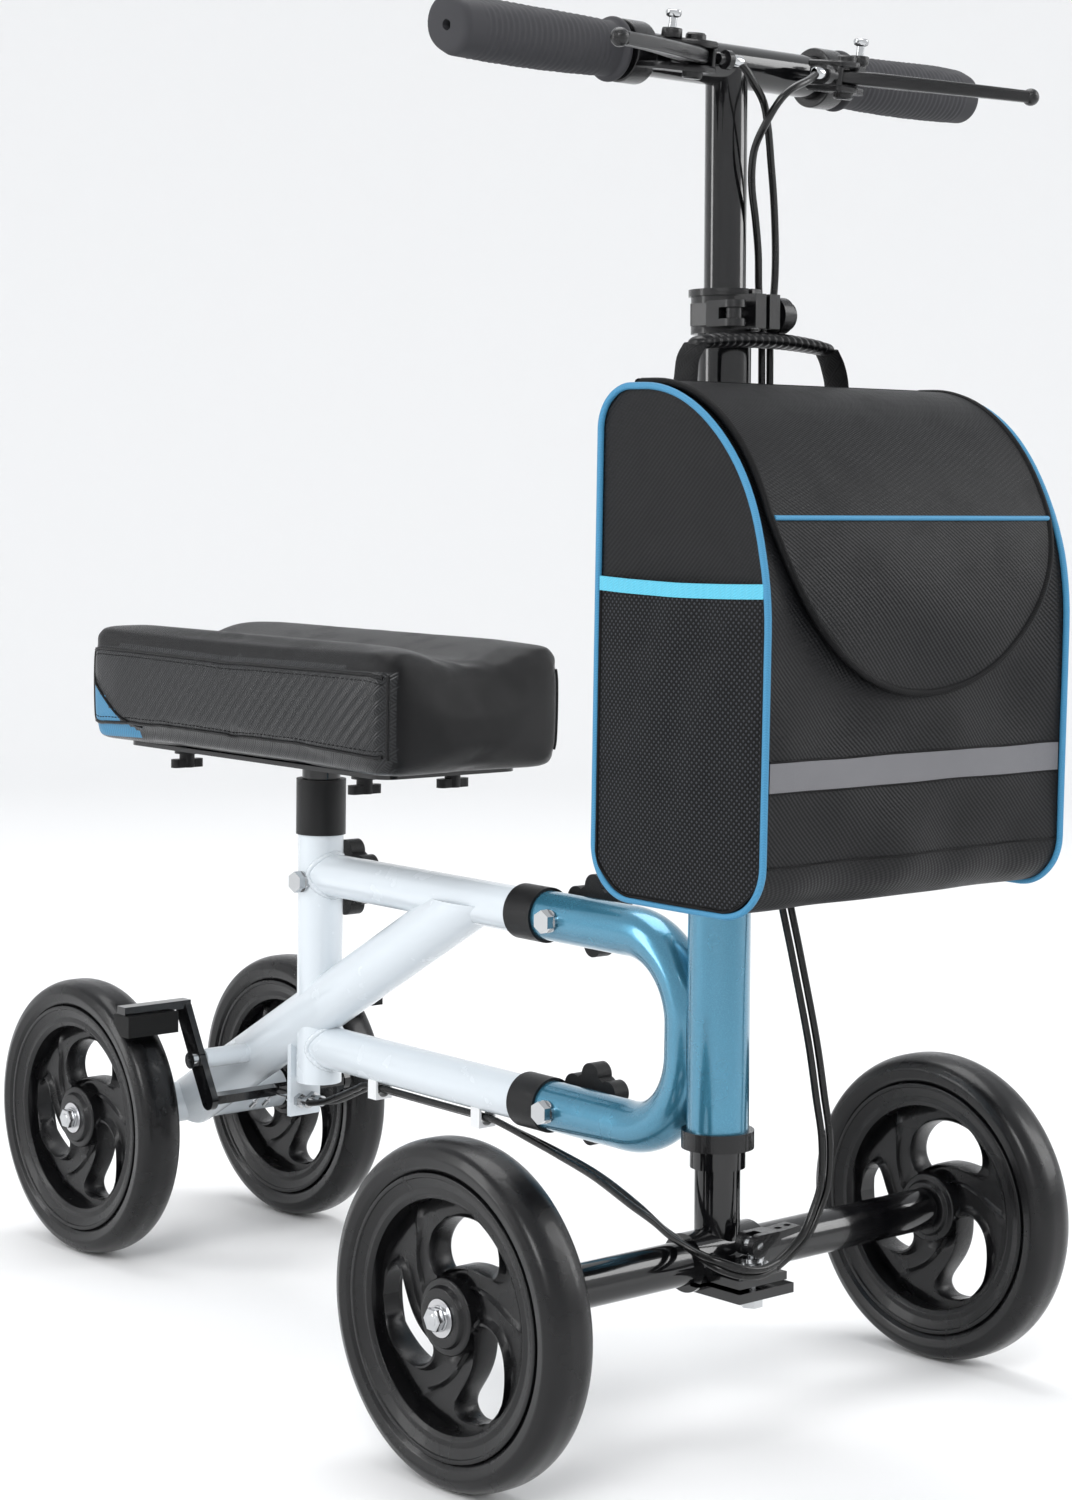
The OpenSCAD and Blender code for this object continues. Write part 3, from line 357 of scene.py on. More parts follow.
@dataclass
class Wiring:
    """Adds and joins nodes in one node tree."""

    tree: bpy.types.NodeTree

    def add(self, kind: str, **values: object) -> bpy.types.Node:
        """A new node with its properties set."""
        node = self.tree.nodes.new(kind)
        for key, value in values.items():
            setattr(node, key, value)
        return node

    def feed(self, socket: bpy.types.NodeSocket, value: object) -> None:
        """Joins a socket to another, or sets its default value."""
        if isinstance(value, bpy.types.NodeSocket):
            self.tree.links.new(value, socket)
        else:
            socket.default_value = value

    def math(self, operation: str, a: object, b: object = 0.0, c: object = 0.0) -> bpy.types.NodeSocket:
        """The result of a Math node."""
        node = self.add("ShaderNodeMath", operation=operation)
        for socket, value in zip(node.inputs, (a, b, c)):
            self.feed(socket, value)
        return node.outputs[0]

    def ramp(self, value: object, low: float, high: float, first: float, last: float) -> bpy.types.NodeSocket:
        """A value carried smoothly from one range to another."""
        node = self.add("ShaderNodeMapRange", interpolation_type="SMOOTHSTEP")
        for socket, v in zip(node.inputs, (value, low, high, first, last)):
            self.feed(socket, v)
        return node.outputs[0]

    def noise(self, place: object, scale: float, detail: float = 2.0) -> bpy.types.NodeSocket:
        """The value of a Noise Texture at a place."""
        node = self.add("ShaderNodeTexNoise")
        self.feed(node.inputs["Vector"], place)
        node.inputs["Scale"].default_value = scale
        node.inputs["Detail"].default_value = detail
        return node.outputs[0]

    def mix(self, amount: object, a: object, b: object) -> bpy.types.NodeSocket:
        """Two colours mixed by an amount."""
        node = self.add("ShaderNodeMix", data_type="RGBA")
        self.feed(node.inputs[0], amount)
        self.feed(node.inputs[6], a)
        self.feed(node.inputs[7], b)
        return node.outputs[2]


def colour(r: float, g: float, b: float) -> tuple[float, float, float, float]:
    """An opaque linear colour."""
    return (r, g, b, 1.0)


class Effects:
    """Builds each shared node group once."""

    def __init__(self) -> None:
        """Starts with no group made."""
        self.made: dict[Effect, bpy.types.NodeTree] = {}

    def group(self, effect: Effect) -> bpy.types.NodeTree:
        """The node group of an effect, with inputs Vector and Scale and an output Value."""
        if effect not in self.made:
            tree = bpy.data.node_groups.new(effect.value, "ShaderNodeTree")
            tree.interface.new_socket("Vector", in_out="INPUT", socket_type="NodeSocketVector")
            tree.interface.new_socket("Scale", in_out="INPUT", socket_type="NodeSocketFloat")
            tree.interface.new_socket("Value", in_out="OUTPUT", socket_type="NodeSocketFloat")
            wiring = Wiring(tree)
            source = wiring.add("NodeGroupInput")
            target = wiring.add("NodeGroupOutput")
            scaled = wiring.add("ShaderNodeVectorMath", operation="SCALE")
            wiring.feed(scaled.inputs[0], source.outputs[0])
            wiring.feed(scaled.inputs["Scale"], source.outputs[1])
            value = getattr(self, f"_{effect.name.lower()}")(wiring, scaled.outputs[0])
            wiring.feed(target.inputs[0], value)
            self.made[effect] = tree
        return self.made[effect]

    def _grain(self, w: Wiring, place: bpy.types.NodeSocket) -> bpy.types.NodeSocket:
        """Small cells with soft walls, like moulded or embossed grain."""
        cells = w.add("ShaderNodeTexVoronoi", feature="SMOOTH_F1")
        w.feed(cells.inputs["Vector"], place)
        return w.ramp(cells.outputs["Distance"], 0.1, 0.7, 0.0, 1.0)

    def _peel(self, w: Wiring, place: bpy.types.NodeSocket) -> bpy.types.NodeSocket:
        """Slow waves, like sprayed and baked paint."""
        return w.noise(place, 1.0, 1.0)

    def _dust(self, w: Wiring, place: bpy.types.NodeSocket) -> bpy.types.NodeSocket:
        """Blotches over two scales."""
        return w.ramp(w.noise(place, 1.0, 6.0), 0.45, 0.75, 0.0, 1.0)

    def _stripes(self, w: Wiring, place: bpy.types.NodeSocket, x: float, y: float,
                 z: float) -> bpy.types.NodeSocket:
        """A sine wave along a direction, from 0 to 1."""
        dot = w.add("ShaderNodeVectorMath", operation="DOT_PRODUCT")
        w.feed(dot.inputs[0], place)
        w.feed(dot.inputs[1], (x, y, z))
        return w.math("MULTIPLY_ADD", w.math("SINE", dot.outputs["Value"]), 0.5, 0.5)

    def _twill(self, w: Wiring, place: bpy.types.NodeSocket) -> bpy.types.NodeSocket:
        """Diagonal cords broken by the threads that cross them."""
        cords = self._stripes(w, place, 1.0, 1.0, 1.0)
        threads = self._stripes(w, place, -0.5, -0.5, 1.6)
        return w.math("ADD", w.math("MULTIPLY", cords, 0.65), w.math("MULTIPLY", threads, 0.35))

    def _ribs(self, w: Wiring, place: bpy.types.NodeSocket) -> bpy.types.NodeSocket:
        """Slanted ribs in alternating bands, like woven carbon cloth."""
        rise = self._stripes(w, place, 0.0, 1.0, 1.0)
        fall = self._stripes(w, place, 0.0, 1.0, -1.0)
        band = w.math("GREATER_THAN", self._stripes(w, place, 0.0, 0.25, 0.25), 0.5)
        weave = w.math("MULTIPLY", rise, band)
        rest = w.math("MULTIPLY", fall, w.math("SUBTRACT", 1.0, band))
        return w.math("ADD", weave, rest)

    def _mesh(self, w: Wiring, place: bpy.types.NodeSocket) -> bpy.types.NodeSocket:
        """Round dots in a staggered grid: 1 where light shows through the holes, 0 on the threads."""
        rise = self._stripes(w, place, 0.0, 1.0, 1.0)
        fall = self._stripes(w, place, 0.0, 1.0, -1.0)
        return w.ramp(w.math("MULTIPLY", rise, fall), 0.30, 0.75, 0.0, 1.0)


EFFECTS = Effects()


@dataclass(frozen=True)
class Finish:
    """One finish: its colour, gloss and the fine relief of its surface."""

    name: str
    base: tuple[float, float, float]
    rough: float
    metal: float = 0.0
    coat: float = 0.0
    sheen: float = 0.0
    specular: float = 0.5
    relief: Effect = Effect.PEEL
    relief_scale: float = 300.0
    relief_depth: float = 0.0001
    # Share by which the relief's low parts are darkened. This is painted shade in the hollows between cords and
    # ribs and on the netting's threads, and the netting's lighter holes are painted light showing through.
    relief_hollow_shade: float = 0.0
    worn: tuple[float, float, float] | None = None
    dust: float = 0.0
    flake: float = 0.0

    def material(self) -> bpy.types.Material:
        """The material of this finish, built the first time it is asked for."""
        known = bpy.data.materials.get(self.name)
        if known:
            return known
        made = bpy.data.materials.new(self.name)
        made.use_nodes = True
        w = Wiring(made.node_tree)
        shader = made.node_tree.nodes["Principled BSDF"]
        place = w.add("ShaderNodeTexCoord").outputs["Object"]
        relief = w.add("ShaderNodeGroup", node_tree=EFFECTS.group(self.relief))
        w.feed(relief.inputs["Vector"], place)
        relief.inputs["Scale"].default_value = self.relief_scale
        blotch = w.add("ShaderNodeGroup", node_tree=EFFECTS.group(Effect.DUST))
        w.feed(blotch.inputs["Vector"], place)
        blotch.inputs["Scale"].default_value = 38.0
        base = colour(*self.base)
        # dark is painted shade for the relief's low parts. It is mixed with the base colour by the relief's
        # height, so the raised parts read as painted highlights.
        dark = colour(*(c * (1 - self.relief_hollow_shade) for c in self.base))
        shade: object = w.mix(relief.outputs[0], dark, base)
        if self.flake:
            cells = w.add("ShaderNodeTexVoronoi")
            w.feed(cells.inputs["Vector"], place)
            cells.inputs["Scale"].default_value = 1400.0
            glint = w.math("MULTIPLY", cells.outputs["Distance"], self.flake)
            shade = w.mix(glint, shade, colour(*(min(1.0, c * 2.2 + 0.05) for c in self.base)))
        if self.worn:
            bend = w.add("ShaderNodeNewGeometry").outputs["Pointiness"]
            edge = w.ramp(bend, 0.53, 0.62, 0.0, 1.0)
            shade = w.mix(w.math("MULTIPLY", edge, 0.6), shade, colour(*self.worn))
        if self.dust:
            lift = w.math("MULTIPLY", blotch.outputs[0], self.dust)
            shade = w.mix(lift, shade, colour(0.20, 0.195, 0.19))
        w.feed(shader.inputs["Base Color"], shade)
        spread = w.math("MULTIPLY_ADD", blotch.outputs[0], 0.08, self.rough - 0.02)
        w.feed(shader.inputs["Roughness"], spread)
        shader.inputs["Metallic"].default_value = self.metal
        shader.inputs["Coat Weight"].default_value = self.coat
        shader.inputs["Coat Roughness"].default_value = 0.06
        shader.inputs["Sheen Weight"].default_value = self.sheen
        shader.inputs["Sheen Roughness"].default_value = 0.45
        shader.inputs["Specular IOR Level"].default_value = self.specular
        bump = w.add("ShaderNodeBump")
        bump.inputs["Strength"].default_value = 0.7
        bump.inputs["Distance"].default_value = self.relief_depth
        w.feed(bump.inputs["Height"], relief.outputs[0])
        w.feed(shader.inputs["Normal"], bump.outputs[0])
        return made


WHITE_PAINT = Finish("white_powder_paint", (0.62, 0.67, 0.71), 0.24, coat=0.5, relief_scale=520.0,
                     relief_depth=0.00003)
BLUE_PAINT = Finish("steel_blue_metallic", (0.040, 0.185, 0.285), 0.25, metal=0.6, coat=0.8,
                    relief_scale=520.0, relief_depth=0.00004, flake=0.3)
BLACK_PAINT = Finish("black_gloss_paint", (0.003, 0.003, 0.0035), 0.14, coat=0.5, specular=0.3,
                     relief_scale=500.0, relief_depth=0.00004)
BLACK_CAST = Finish("black_cast_alloy", (0.004, 0.004, 0.0045), 0.22, coat=0.25, specular=0.3,
                    relief=Effect.GRAIN, relief_scale=1500.0, relief_depth=0.00005)
PLASTIC = Finish("black_moulded_plastic", (0.005, 0.005, 0.0055), 0.36, specular=0.25,
                 relief=Effect.GRAIN, relief_scale=1100.0, relief_depth=0.00008)
RIM_PLASTIC = Finish("black_rim_plastic", (0.004, 0.004, 0.0045), 0.26, coat=0.08, specular=0.28,
                     relief=Effect.GRAIN, relief_scale=900.0, relief_depth=0.00005,
                     worn=(0.012, 0.012, 0.013))
TYRE_RUBBER = Finish("tyre_urethane", (0.0035, 0.0035, 0.004), 0.27, coat=0.12, specular=0.28,
                     relief=Effect.GRAIN, relief_scale=420.0, relief_depth=0.00006, dust=0.006)
CHROME = Finish("chrome_plate", (0.50, 0.51, 0.52), 0.16, metal=1.0, relief_scale=700.0,
                relief_depth=0.00003)
STEEL = Finish("brushed_bearing_steel", (0.50, 0.50, 0.51), 0.30, metal=1.0, relief_scale=900.0,
               relief_depth=0.00005)
WHITE_PLASTIC = Finish("white_clip_plastic", (0.72, 0.73, 0.74), 0.38, relief=Effect.GRAIN, relief_scale=900.0,
                       relief_depth=0.00004)
CABLE = Finish("cable_jacket", (0.004, 0.004, 0.004), 0.27, coat=0.15, specular=0.3, relief_scale=900.0,
               relief_depth=0.00004)
GRIP_RUBBER = Finish("grip_rubber", (0.005, 0.005, 0.0055), 0.50, specular=0.22, relief=Effect.GRAIN,
                     relief_scale=620.0, relief_depth=0.00018)
BRAKE_RUBBER = Finish("brake_rubber", (0.006, 0.006, 0.006), 0.6, specular=0.2, relief=Effect.GRAIN,
                      relief_scale=700.0)
VINYL = Finish("pad_top_vinyl", (0.0035, 0.0035, 0.004), 0.36, specular=0.22, relief=Effect.GRAIN,
               relief_scale=900.0, relief_depth=0.00010, dust=0.004)
CARBON_VINYL = Finish("pad_side_ribbed_vinyl", (0.018, 0.019, 0.021), 0.30, specular=0.3,
                      relief=Effect.RIBS, relief_scale=2500.0, relief_depth=0.00018, relief_hollow_shade=0.85)
BLUE_FABRIC = Finish("pad_blue_fabric", (0.040, 0.215, 0.385), 0.65, sheen=0.1, relief=Effect.TWILL,
                     relief_scale=2600.0, relief_depth=0.00012, relief_hollow_shade=0.35)
TWILL = Finish("bag_black_twill", (0.0055, 0.0058, 0.0070), 0.50, specular=0.20,
               relief=Effect.TWILL, relief_scale=2000.0, relief_depth=0.00030, relief_hollow_shade=0.75, dust=0.004)
BINDING = Finish("black_binding_tape", (0.003, 0.003, 0.0035), 0.60, specular=0.15,
                 relief=Effect.TWILL, relief_scale=3800.0, relief_depth=0.00012, relief_hollow_shade=0.3)
WEBBING = Finish("black_webbing", (0.004, 0.004, 0.0045), 0.55, specular=0.18,
                 relief=Effect.RIBS, relief_scale=2400.0, relief_depth=0.00020, relief_hollow_shade=0.4)
PIPING = Finish("light_blue_piping", (0.055, 0.245, 0.43), 0.5, specular=0.3, relief=Effect.TWILL,
                relief_scale=4200.0, relief_depth=0.00008, relief_hollow_shade=0.2)
ELASTIC = Finish("cyan_elastic", (0.11, 0.49, 0.66), 0.55, specular=0.3, relief=Effect.TWILL,
                 relief_scale=3800.0, relief_depth=0.00010, relief_hollow_shade=0.2)
REFLECTIVE = Finish("grey_reflective_tape", (0.135, 0.135, 0.145), 0.38, metal=0.2,
                    relief=Effect.GRAIN, relief_scale=2600.0, relief_depth=0.00005)
NETTING = Finish("pocket_netting", (0.040, 0.043, 0.050), 0.62, specular=0.15, relief=Effect.MESH,
                 relief_scale=1750.0, relief_depth=0.0004, relief_hollow_shade=0.93)
HANDLE_RUBBER = Finish("carry_handle_rubber", (0.004, 0.004, 0.0045), 0.34, specular=0.3,
                       relief_scale=600.0)

CAD_FINISHES = {
    "frame_paint": WHITE_PAINT, "front_paint": BLUE_PAINT, "black_paint": BLACK_PAINT,
    "black_cast": BLACK_CAST, "plastic": PLASTIC, "white_plastic": WHITE_PLASTIC, "steel": CHROME,
    "bearing_steel": STEEL, "pin_chrome": CHROME, "cable_black": CABLE, "grip_rubber": GRIP_RUBBER,
    "pad_rubber": BRAKE_RUBBER, "pad_cover": VINYL, "bag_fabric": TWILL, "tyre": TYRE_RUBBER,
    "rim": RIM_PLASTIC,
}
"""The finish of each of the record's material slots."""


# ---------- making pieces ----------


@dataclass
class Bench:
    """Turns shapes into pieces of the object and keeps count of them."""

    pieces: list[str] = field(default_factory=list)

    def mesh(self, name: str, shape: Shape, finish: Finish, smooth: float = 40.0) -> bpy.types.Object:
        """An object with the shape's mesh, shaded smooth up to an angle.

        Args:
            name: name of the object.
            shape: its points and faces.
            finish: its finish.
            smooth: angle in degrees above which an edge stays sharp.

        Returns:
            The object, at the origin.
        """
        data = bpy.data.meshes.new(name)
        data.from_pydata(shape.points.tolist(), [], shape.faces)
        data.validate()
        data.materials.append(finish.material())
        made = bpy.data.objects.new(name, data)
        bpy.context.scene.collection.objects.link(made)
        self.outwards(made)
        data.shade_smooth()
        data.set_sharp_from_angle(angle=math.radians(smooth))
        return made

    def outwards(self, made: bpy.types.Object) -> None:
        """Turns every face of a closed mesh outwards."""
        work = bmesh.new()
        work.from_mesh(made.data)
        bmesh.ops.recalc_face_normals(work, faces=work.faces)
        work.to_mesh(made.data)
        work.free()

    def finish_piece(self, made: bpy.types.Object, body: str, slot: str, replaced: Sequence[str] = ()) -> None:
        """Rides a piece on its body and hides the CAD nodes that it replaces."""
        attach(made, body)
        if replaced:
            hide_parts(*replaced)
        self.pieces.append(made.name)
        LOG.info("%s rides on %s", made.name, body)

    def piece(self, name: str, shape: Shape, finish: Finish, body: str, slot: str,
              replaced: Sequence[str] = (), smooth: float = 40.0) -> bpy.types.Object:
        """A finished piece from a shape.

        Args:
            name: name of the piece.
            shape: its points and faces.
            finish: its finish.
            body: the body that it moves with.
            slot: the record's material slot; not used.
            replaced: CAD nodes that it stands for.
            smooth: angle in degrees above which an edge stays sharp.

        Returns:
            The object.
        """
        made = self.mesh(name, shape, finish, smooth)
        self.finish_piece(made, body, slot, replaced)
        return made

    def dress_frame(self) -> None:
        """Gives every CAD node the finish of its slot."""
        slots = {s["node"]: s["material_slot"] for s in frame["record"]["subparts"]}
        for name, node in frame["nodes"].items():
            finish = CAD_FINISHES[slots[name]]
            node.data.materials.clear()
            node.data.materials.append(finish.material())
            LOG.info("%s dressed in %s", name, finish.name)


# ---------- wheels ----------


@dataclass
class Wheel:
    """A spoked wheel with a urethane tyre, built round its axle and turned onto +X or -X.

    The outer side of the wheel, where the bolt head is, looks along `side`.
    """

    bench: Bench
    tyre_node: str
    rim_node: str
    body: str
    side: float
    spokes: int = 3
    hub_r: float = 0.0212
    ring_r: float = 0.0665
    swirl: float = 1.02
    web_half: float = 0.0095

    def __post_init__(self) -> None:
        """Takes the wheel's middle and sizes from its two nodes."""
        self.centre = middle(self.tyre_node)
        low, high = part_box(self.tyre_node)
        self.radius = (high.z - low.z) / 2
        self.half = (high.x - low.x) / 2
        rim_low, rim_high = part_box(self.rim_node)
        self.rim_r = (rim_high.z - rim_low.z) / 2
        self.hub_half = (rim_high.x - rim_low.x) / 2

    def placed(self, shape: Shape) -> Shape:
        """A shape made round +Z, with its outer side up, laid on the axle."""
        p = shape.points
        turned_points = np.stack([p[:, 2] * self.side, p[:, 0], p[:, 1]], -1)
        return Shape(turned_points + np.array(self.centre), shape.faces)

    def round_ring(self, corners: Sequence[tuple[float, float, float]], steps: int = 5,
                   sides: int = 144) -> Shape:
        """An outline of (radius, height, corner radius) turned about the axle."""
        return self.placed(turned(rounded_corners(corners, steps), (0, 0, 0), (0, 0, 1), sides))

    def tyre(self) -> None:
        """The tyre: a crowned tread with round shoulders."""
        r, h, seat = self.radius, self.half, self.rim_r + 0.00005
        corners = [
            (seat, -h * 0.80, 0.001), (seat + 0.003, -h * 0.93, 0.002), (r - 0.0095, -h, 0.004),
            (r - 0.0035, -h * 0.86, 0.007), (r, -h * 0.45, 0.02), (r, h * 0.45, 0.02),
            (r - 0.0035, h * 0.86, 0.007), (r - 0.0095, h, 0.004), (seat + 0.003, h * 0.93, 0.002),
            (seat, h * 0.80, 0.001)]
        self.bench.piece(self.tyre_node + "_moulded", self.round_ring(corners, 6, 160), TYRE_RUBBER,
                         self.body, "tyre", [self.tyre_node], 60.0)

    def rim(self) -> None:
        """The one-piece rim: stepped outer ring, swirled spokes with raised edges, and the hub."""
        step, lip, web = 0.0025, self.half - 0.0016, self.web_half
        ring = [
            (self.ring_r, -web - 0.002, 0.001), (self.ring_r + 0.003, -web - 0.0035, 0.001),
            (self.ring_r + 0.0065, -lip + 0.003, 0.001), (self.rim_r - 0.0032, -lip + step * 0.4, 0.001),
            (self.rim_r - 0.0028, -lip, 0.0008), (self.rim_r - 0.0002, -lip, 0.0008),
            (self.rim_r - 0.0002, lip, 0.0008), (self.rim_r - 0.0028, lip, 0.0008),
            (self.rim_r - 0.0032, lip - step * 0.4, 0.001), (self.ring_r + 0.0065, lip - 0.003, 0.001),
            (self.ring_r + 0.003, web + 0.0035, 0.001), (self.ring_r, web + 0.002, 0.001)]
        bore = 0.01115
        face = self.hub_half - 0.0006
        hub = [
            (bore, -face, 0.0004), (self.hub_r - 0.0045, -face, 0.001),
            (self.hub_r - 0.003, -face + 0.003, 0.001),
            (self.hub_r + 0.001, -web - 0.0015, 0.0015), (self.hub_r + 0.001, web + 0.0015, 0.0015),
            (self.hub_r - 0.003, face - 0.003, 0.001), (self.hub_r - 0.0045, face, 0.001),
            (bore, face, 0.0004)]
        shape = self.round_ring(ring) + self.round_ring(hub)
        for k in range(self.spokes):
            shape = shape + self.placed(self.spoke(k * 2 * math.pi / self.spokes))
        self.bench.piece(self.rim_node + "_moulded", shape, RIM_PLASTIC, self.body, "rim",
                         [self.rim_node], 35.0)

    def spoke(self, start: float, rows: int = 56, cols: int = 29) -> Shape:
        """One swirled spoke between two bean-shaped holes.

        At each radius the spoke fills the angle that the holes leave. The hole's half angle is a sine
        bump along the radius, fuller towards the rim; the middle of the spoke leans round with the
        radius by a quarter sine. Across the spoke the face has two raised rails with a sunk band
        between them, and near each end the band sinks into a dark pocket.
        """
        t = np.linspace(0, 1, rows)[:, None]
        v = np.linspace(-1, 1, cols)[None, :]
        r = self.hub_r - 0.002 + (self.ring_r + 0.003 - self.hub_r) * t
        sector = math.pi / self.spokes
        bean = np.clip(np.sin(math.pi * np.clip((t - 0.10) / 0.80, 0, 1)), 0, 1) ** 0.62 * (0.50 + 0.16 * t)
        lean = self.swirl * np.sin(math.pi / 2 * t)
        angle = start + lean + v * (sector - bean)
        width = (sector - bean) * r
        rail = np.exp(-(((np.abs(v) - 1) * width + 0.0022) / 0.0020) ** 2)
        rail = np.maximum(rail, 0.55 * np.exp(-((v * width - 0.0012 * np.sin(3 * t)) / 0.0011) ** 2))
        ends = np.clip(np.abs(t - 0.5) * 2 - 0.62, 0, 1) / 0.38
        pocket = 0.0042 * ends * np.clip(1 - (np.abs(v) * 1.7) ** 4, 0, 1)
        height = self.web_half - 0.0052 + 0.0046 * rail - pocket
        x, y = r * np.cos(angle), r * np.sin(angle)
        front = np.stack([x, y, np.broadcast_to(height, x.shape)], -1)
        back = np.stack([x, y, -np.broadcast_to(height, x.shape)], -1)[:, ::-1]
        return lattice(np.concatenate([front, back], 1), around=True, caps=True)

    def bearing_seal(self) -> None:
        """The rubber seal and lips of the outer bearing, round the bolt."""
        face = self.hub_half
        rings = [
            [(0.0062, face - 0.0010, 0.0003), (0.0078, face - 0.0010, 0.0003),
             (0.0078, face - 0.0002, 0.0003), (0.0062, face - 0.0002, 0.0003)],
            [(0.0080, face - 0.0012, 0.0003), (0.0098, face - 0.0012, 0.0003),
             (0.0098, face - 0.0002, 0.0003), (0.0080, face - 0.0002, 0.0003)]]
        shape = self.round_ring(rings[0], 2, 48) + self.round_ring(rings[1], 2, 48)
        self.bench.piece(self.rim_node + "_seal", shape, BRAKE_RUBBER, self.body, "rim")

    def build(self) -> None:
        """Makes all the pieces of the wheel."""
        self.tyre()
        self.rim()
        self.bearing_seal()


def hex_outline(across: float) -> list[tuple[float, float]]:
    """A hexagon with that distance across its flats, each corner cut by a short chamfer arc."""
    r = across / 2 / math.cos(math.pi / 6)
    corners = [(r * math.cos(a), r * math.sin(a), across * 0.02) for a in np.arange(6) * math.pi / 3]
    return rounded_corners(corners, 2)


@dataclass
class HexBolt:
    """A hex head on a washer, looking along an axis from a face."""

    across: float
    height: float
    washer_r: float
    washer_t: float

    def shape(self, face: Sequence[float], axis: Sequence[float]) -> Shape:
        """Washer, chamfered head and the domed end, from a point on the face outwards."""
        a = np.asarray(axis, float)
        helper = np.array([0, 0, 1.0]) if abs(a[2]) < 0.9 else np.array([0, 1.0, 0])
        u = np.cross(helper, a)
        u /= np.linalg.norm(u)
        v = np.cross(a, u)
        origin = np.asarray(face, float)
        washer = turned(rounded_corners([(0.002, 0.0, 0), (self.washer_r, 0.0, 0.0002),
                                         (self.washer_r, self.washer_t, 0.0004), (0.002, self.washer_t, 0)], 3),
                        origin, a, 48)
        head = extruded(hex_outline(self.across), origin + a * self.washer_t, u, v, self.height, 0.0006)
        top = self.washer_t + self.height
        r = self.across * 0.30
        stamp = turned([(0.0, top - 0.0002), (r, top - 0.0002), (r, top + 0.0001), (r * 0.8, top + 0.0004),
                        (0.0, top + 0.0002)], origin, a, 40, closed=False)
        return washer + head + stamp


def wheel_bolts(bench: Bench, node: str, body: str, tyres: Sequence[str], rims: Sequence[str]) -> None:
    """The bolt heads of one axle, in place of the node's plain ones.

    Args:
        bench: where pieces are made.
        node: the CAD node with both bolts.
        body: the body that carries them.
        tyres: the tyre nodes of the axle, left then right.
        rims: the rim nodes of the axle, in the same order.
    """
    head = HexBolt(0.0125, 0.0048, 0.0075, 0.0012)
    shapes = []
    for tyre, rim, side in zip(tyres, rims, (1.0, -1.0)):
        centre = middle(tyre)
        low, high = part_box(rim)
        face = high.x if side > 0 else low.x
        shapes.append(head.shape((face, centre.y, centre.z), (side, 0, 0)))
    bench.piece(node + "_heads", shapes[0] + shapes[1], CHROME, body, "steel", [node], 30.0)


# ---------- the studio ----------


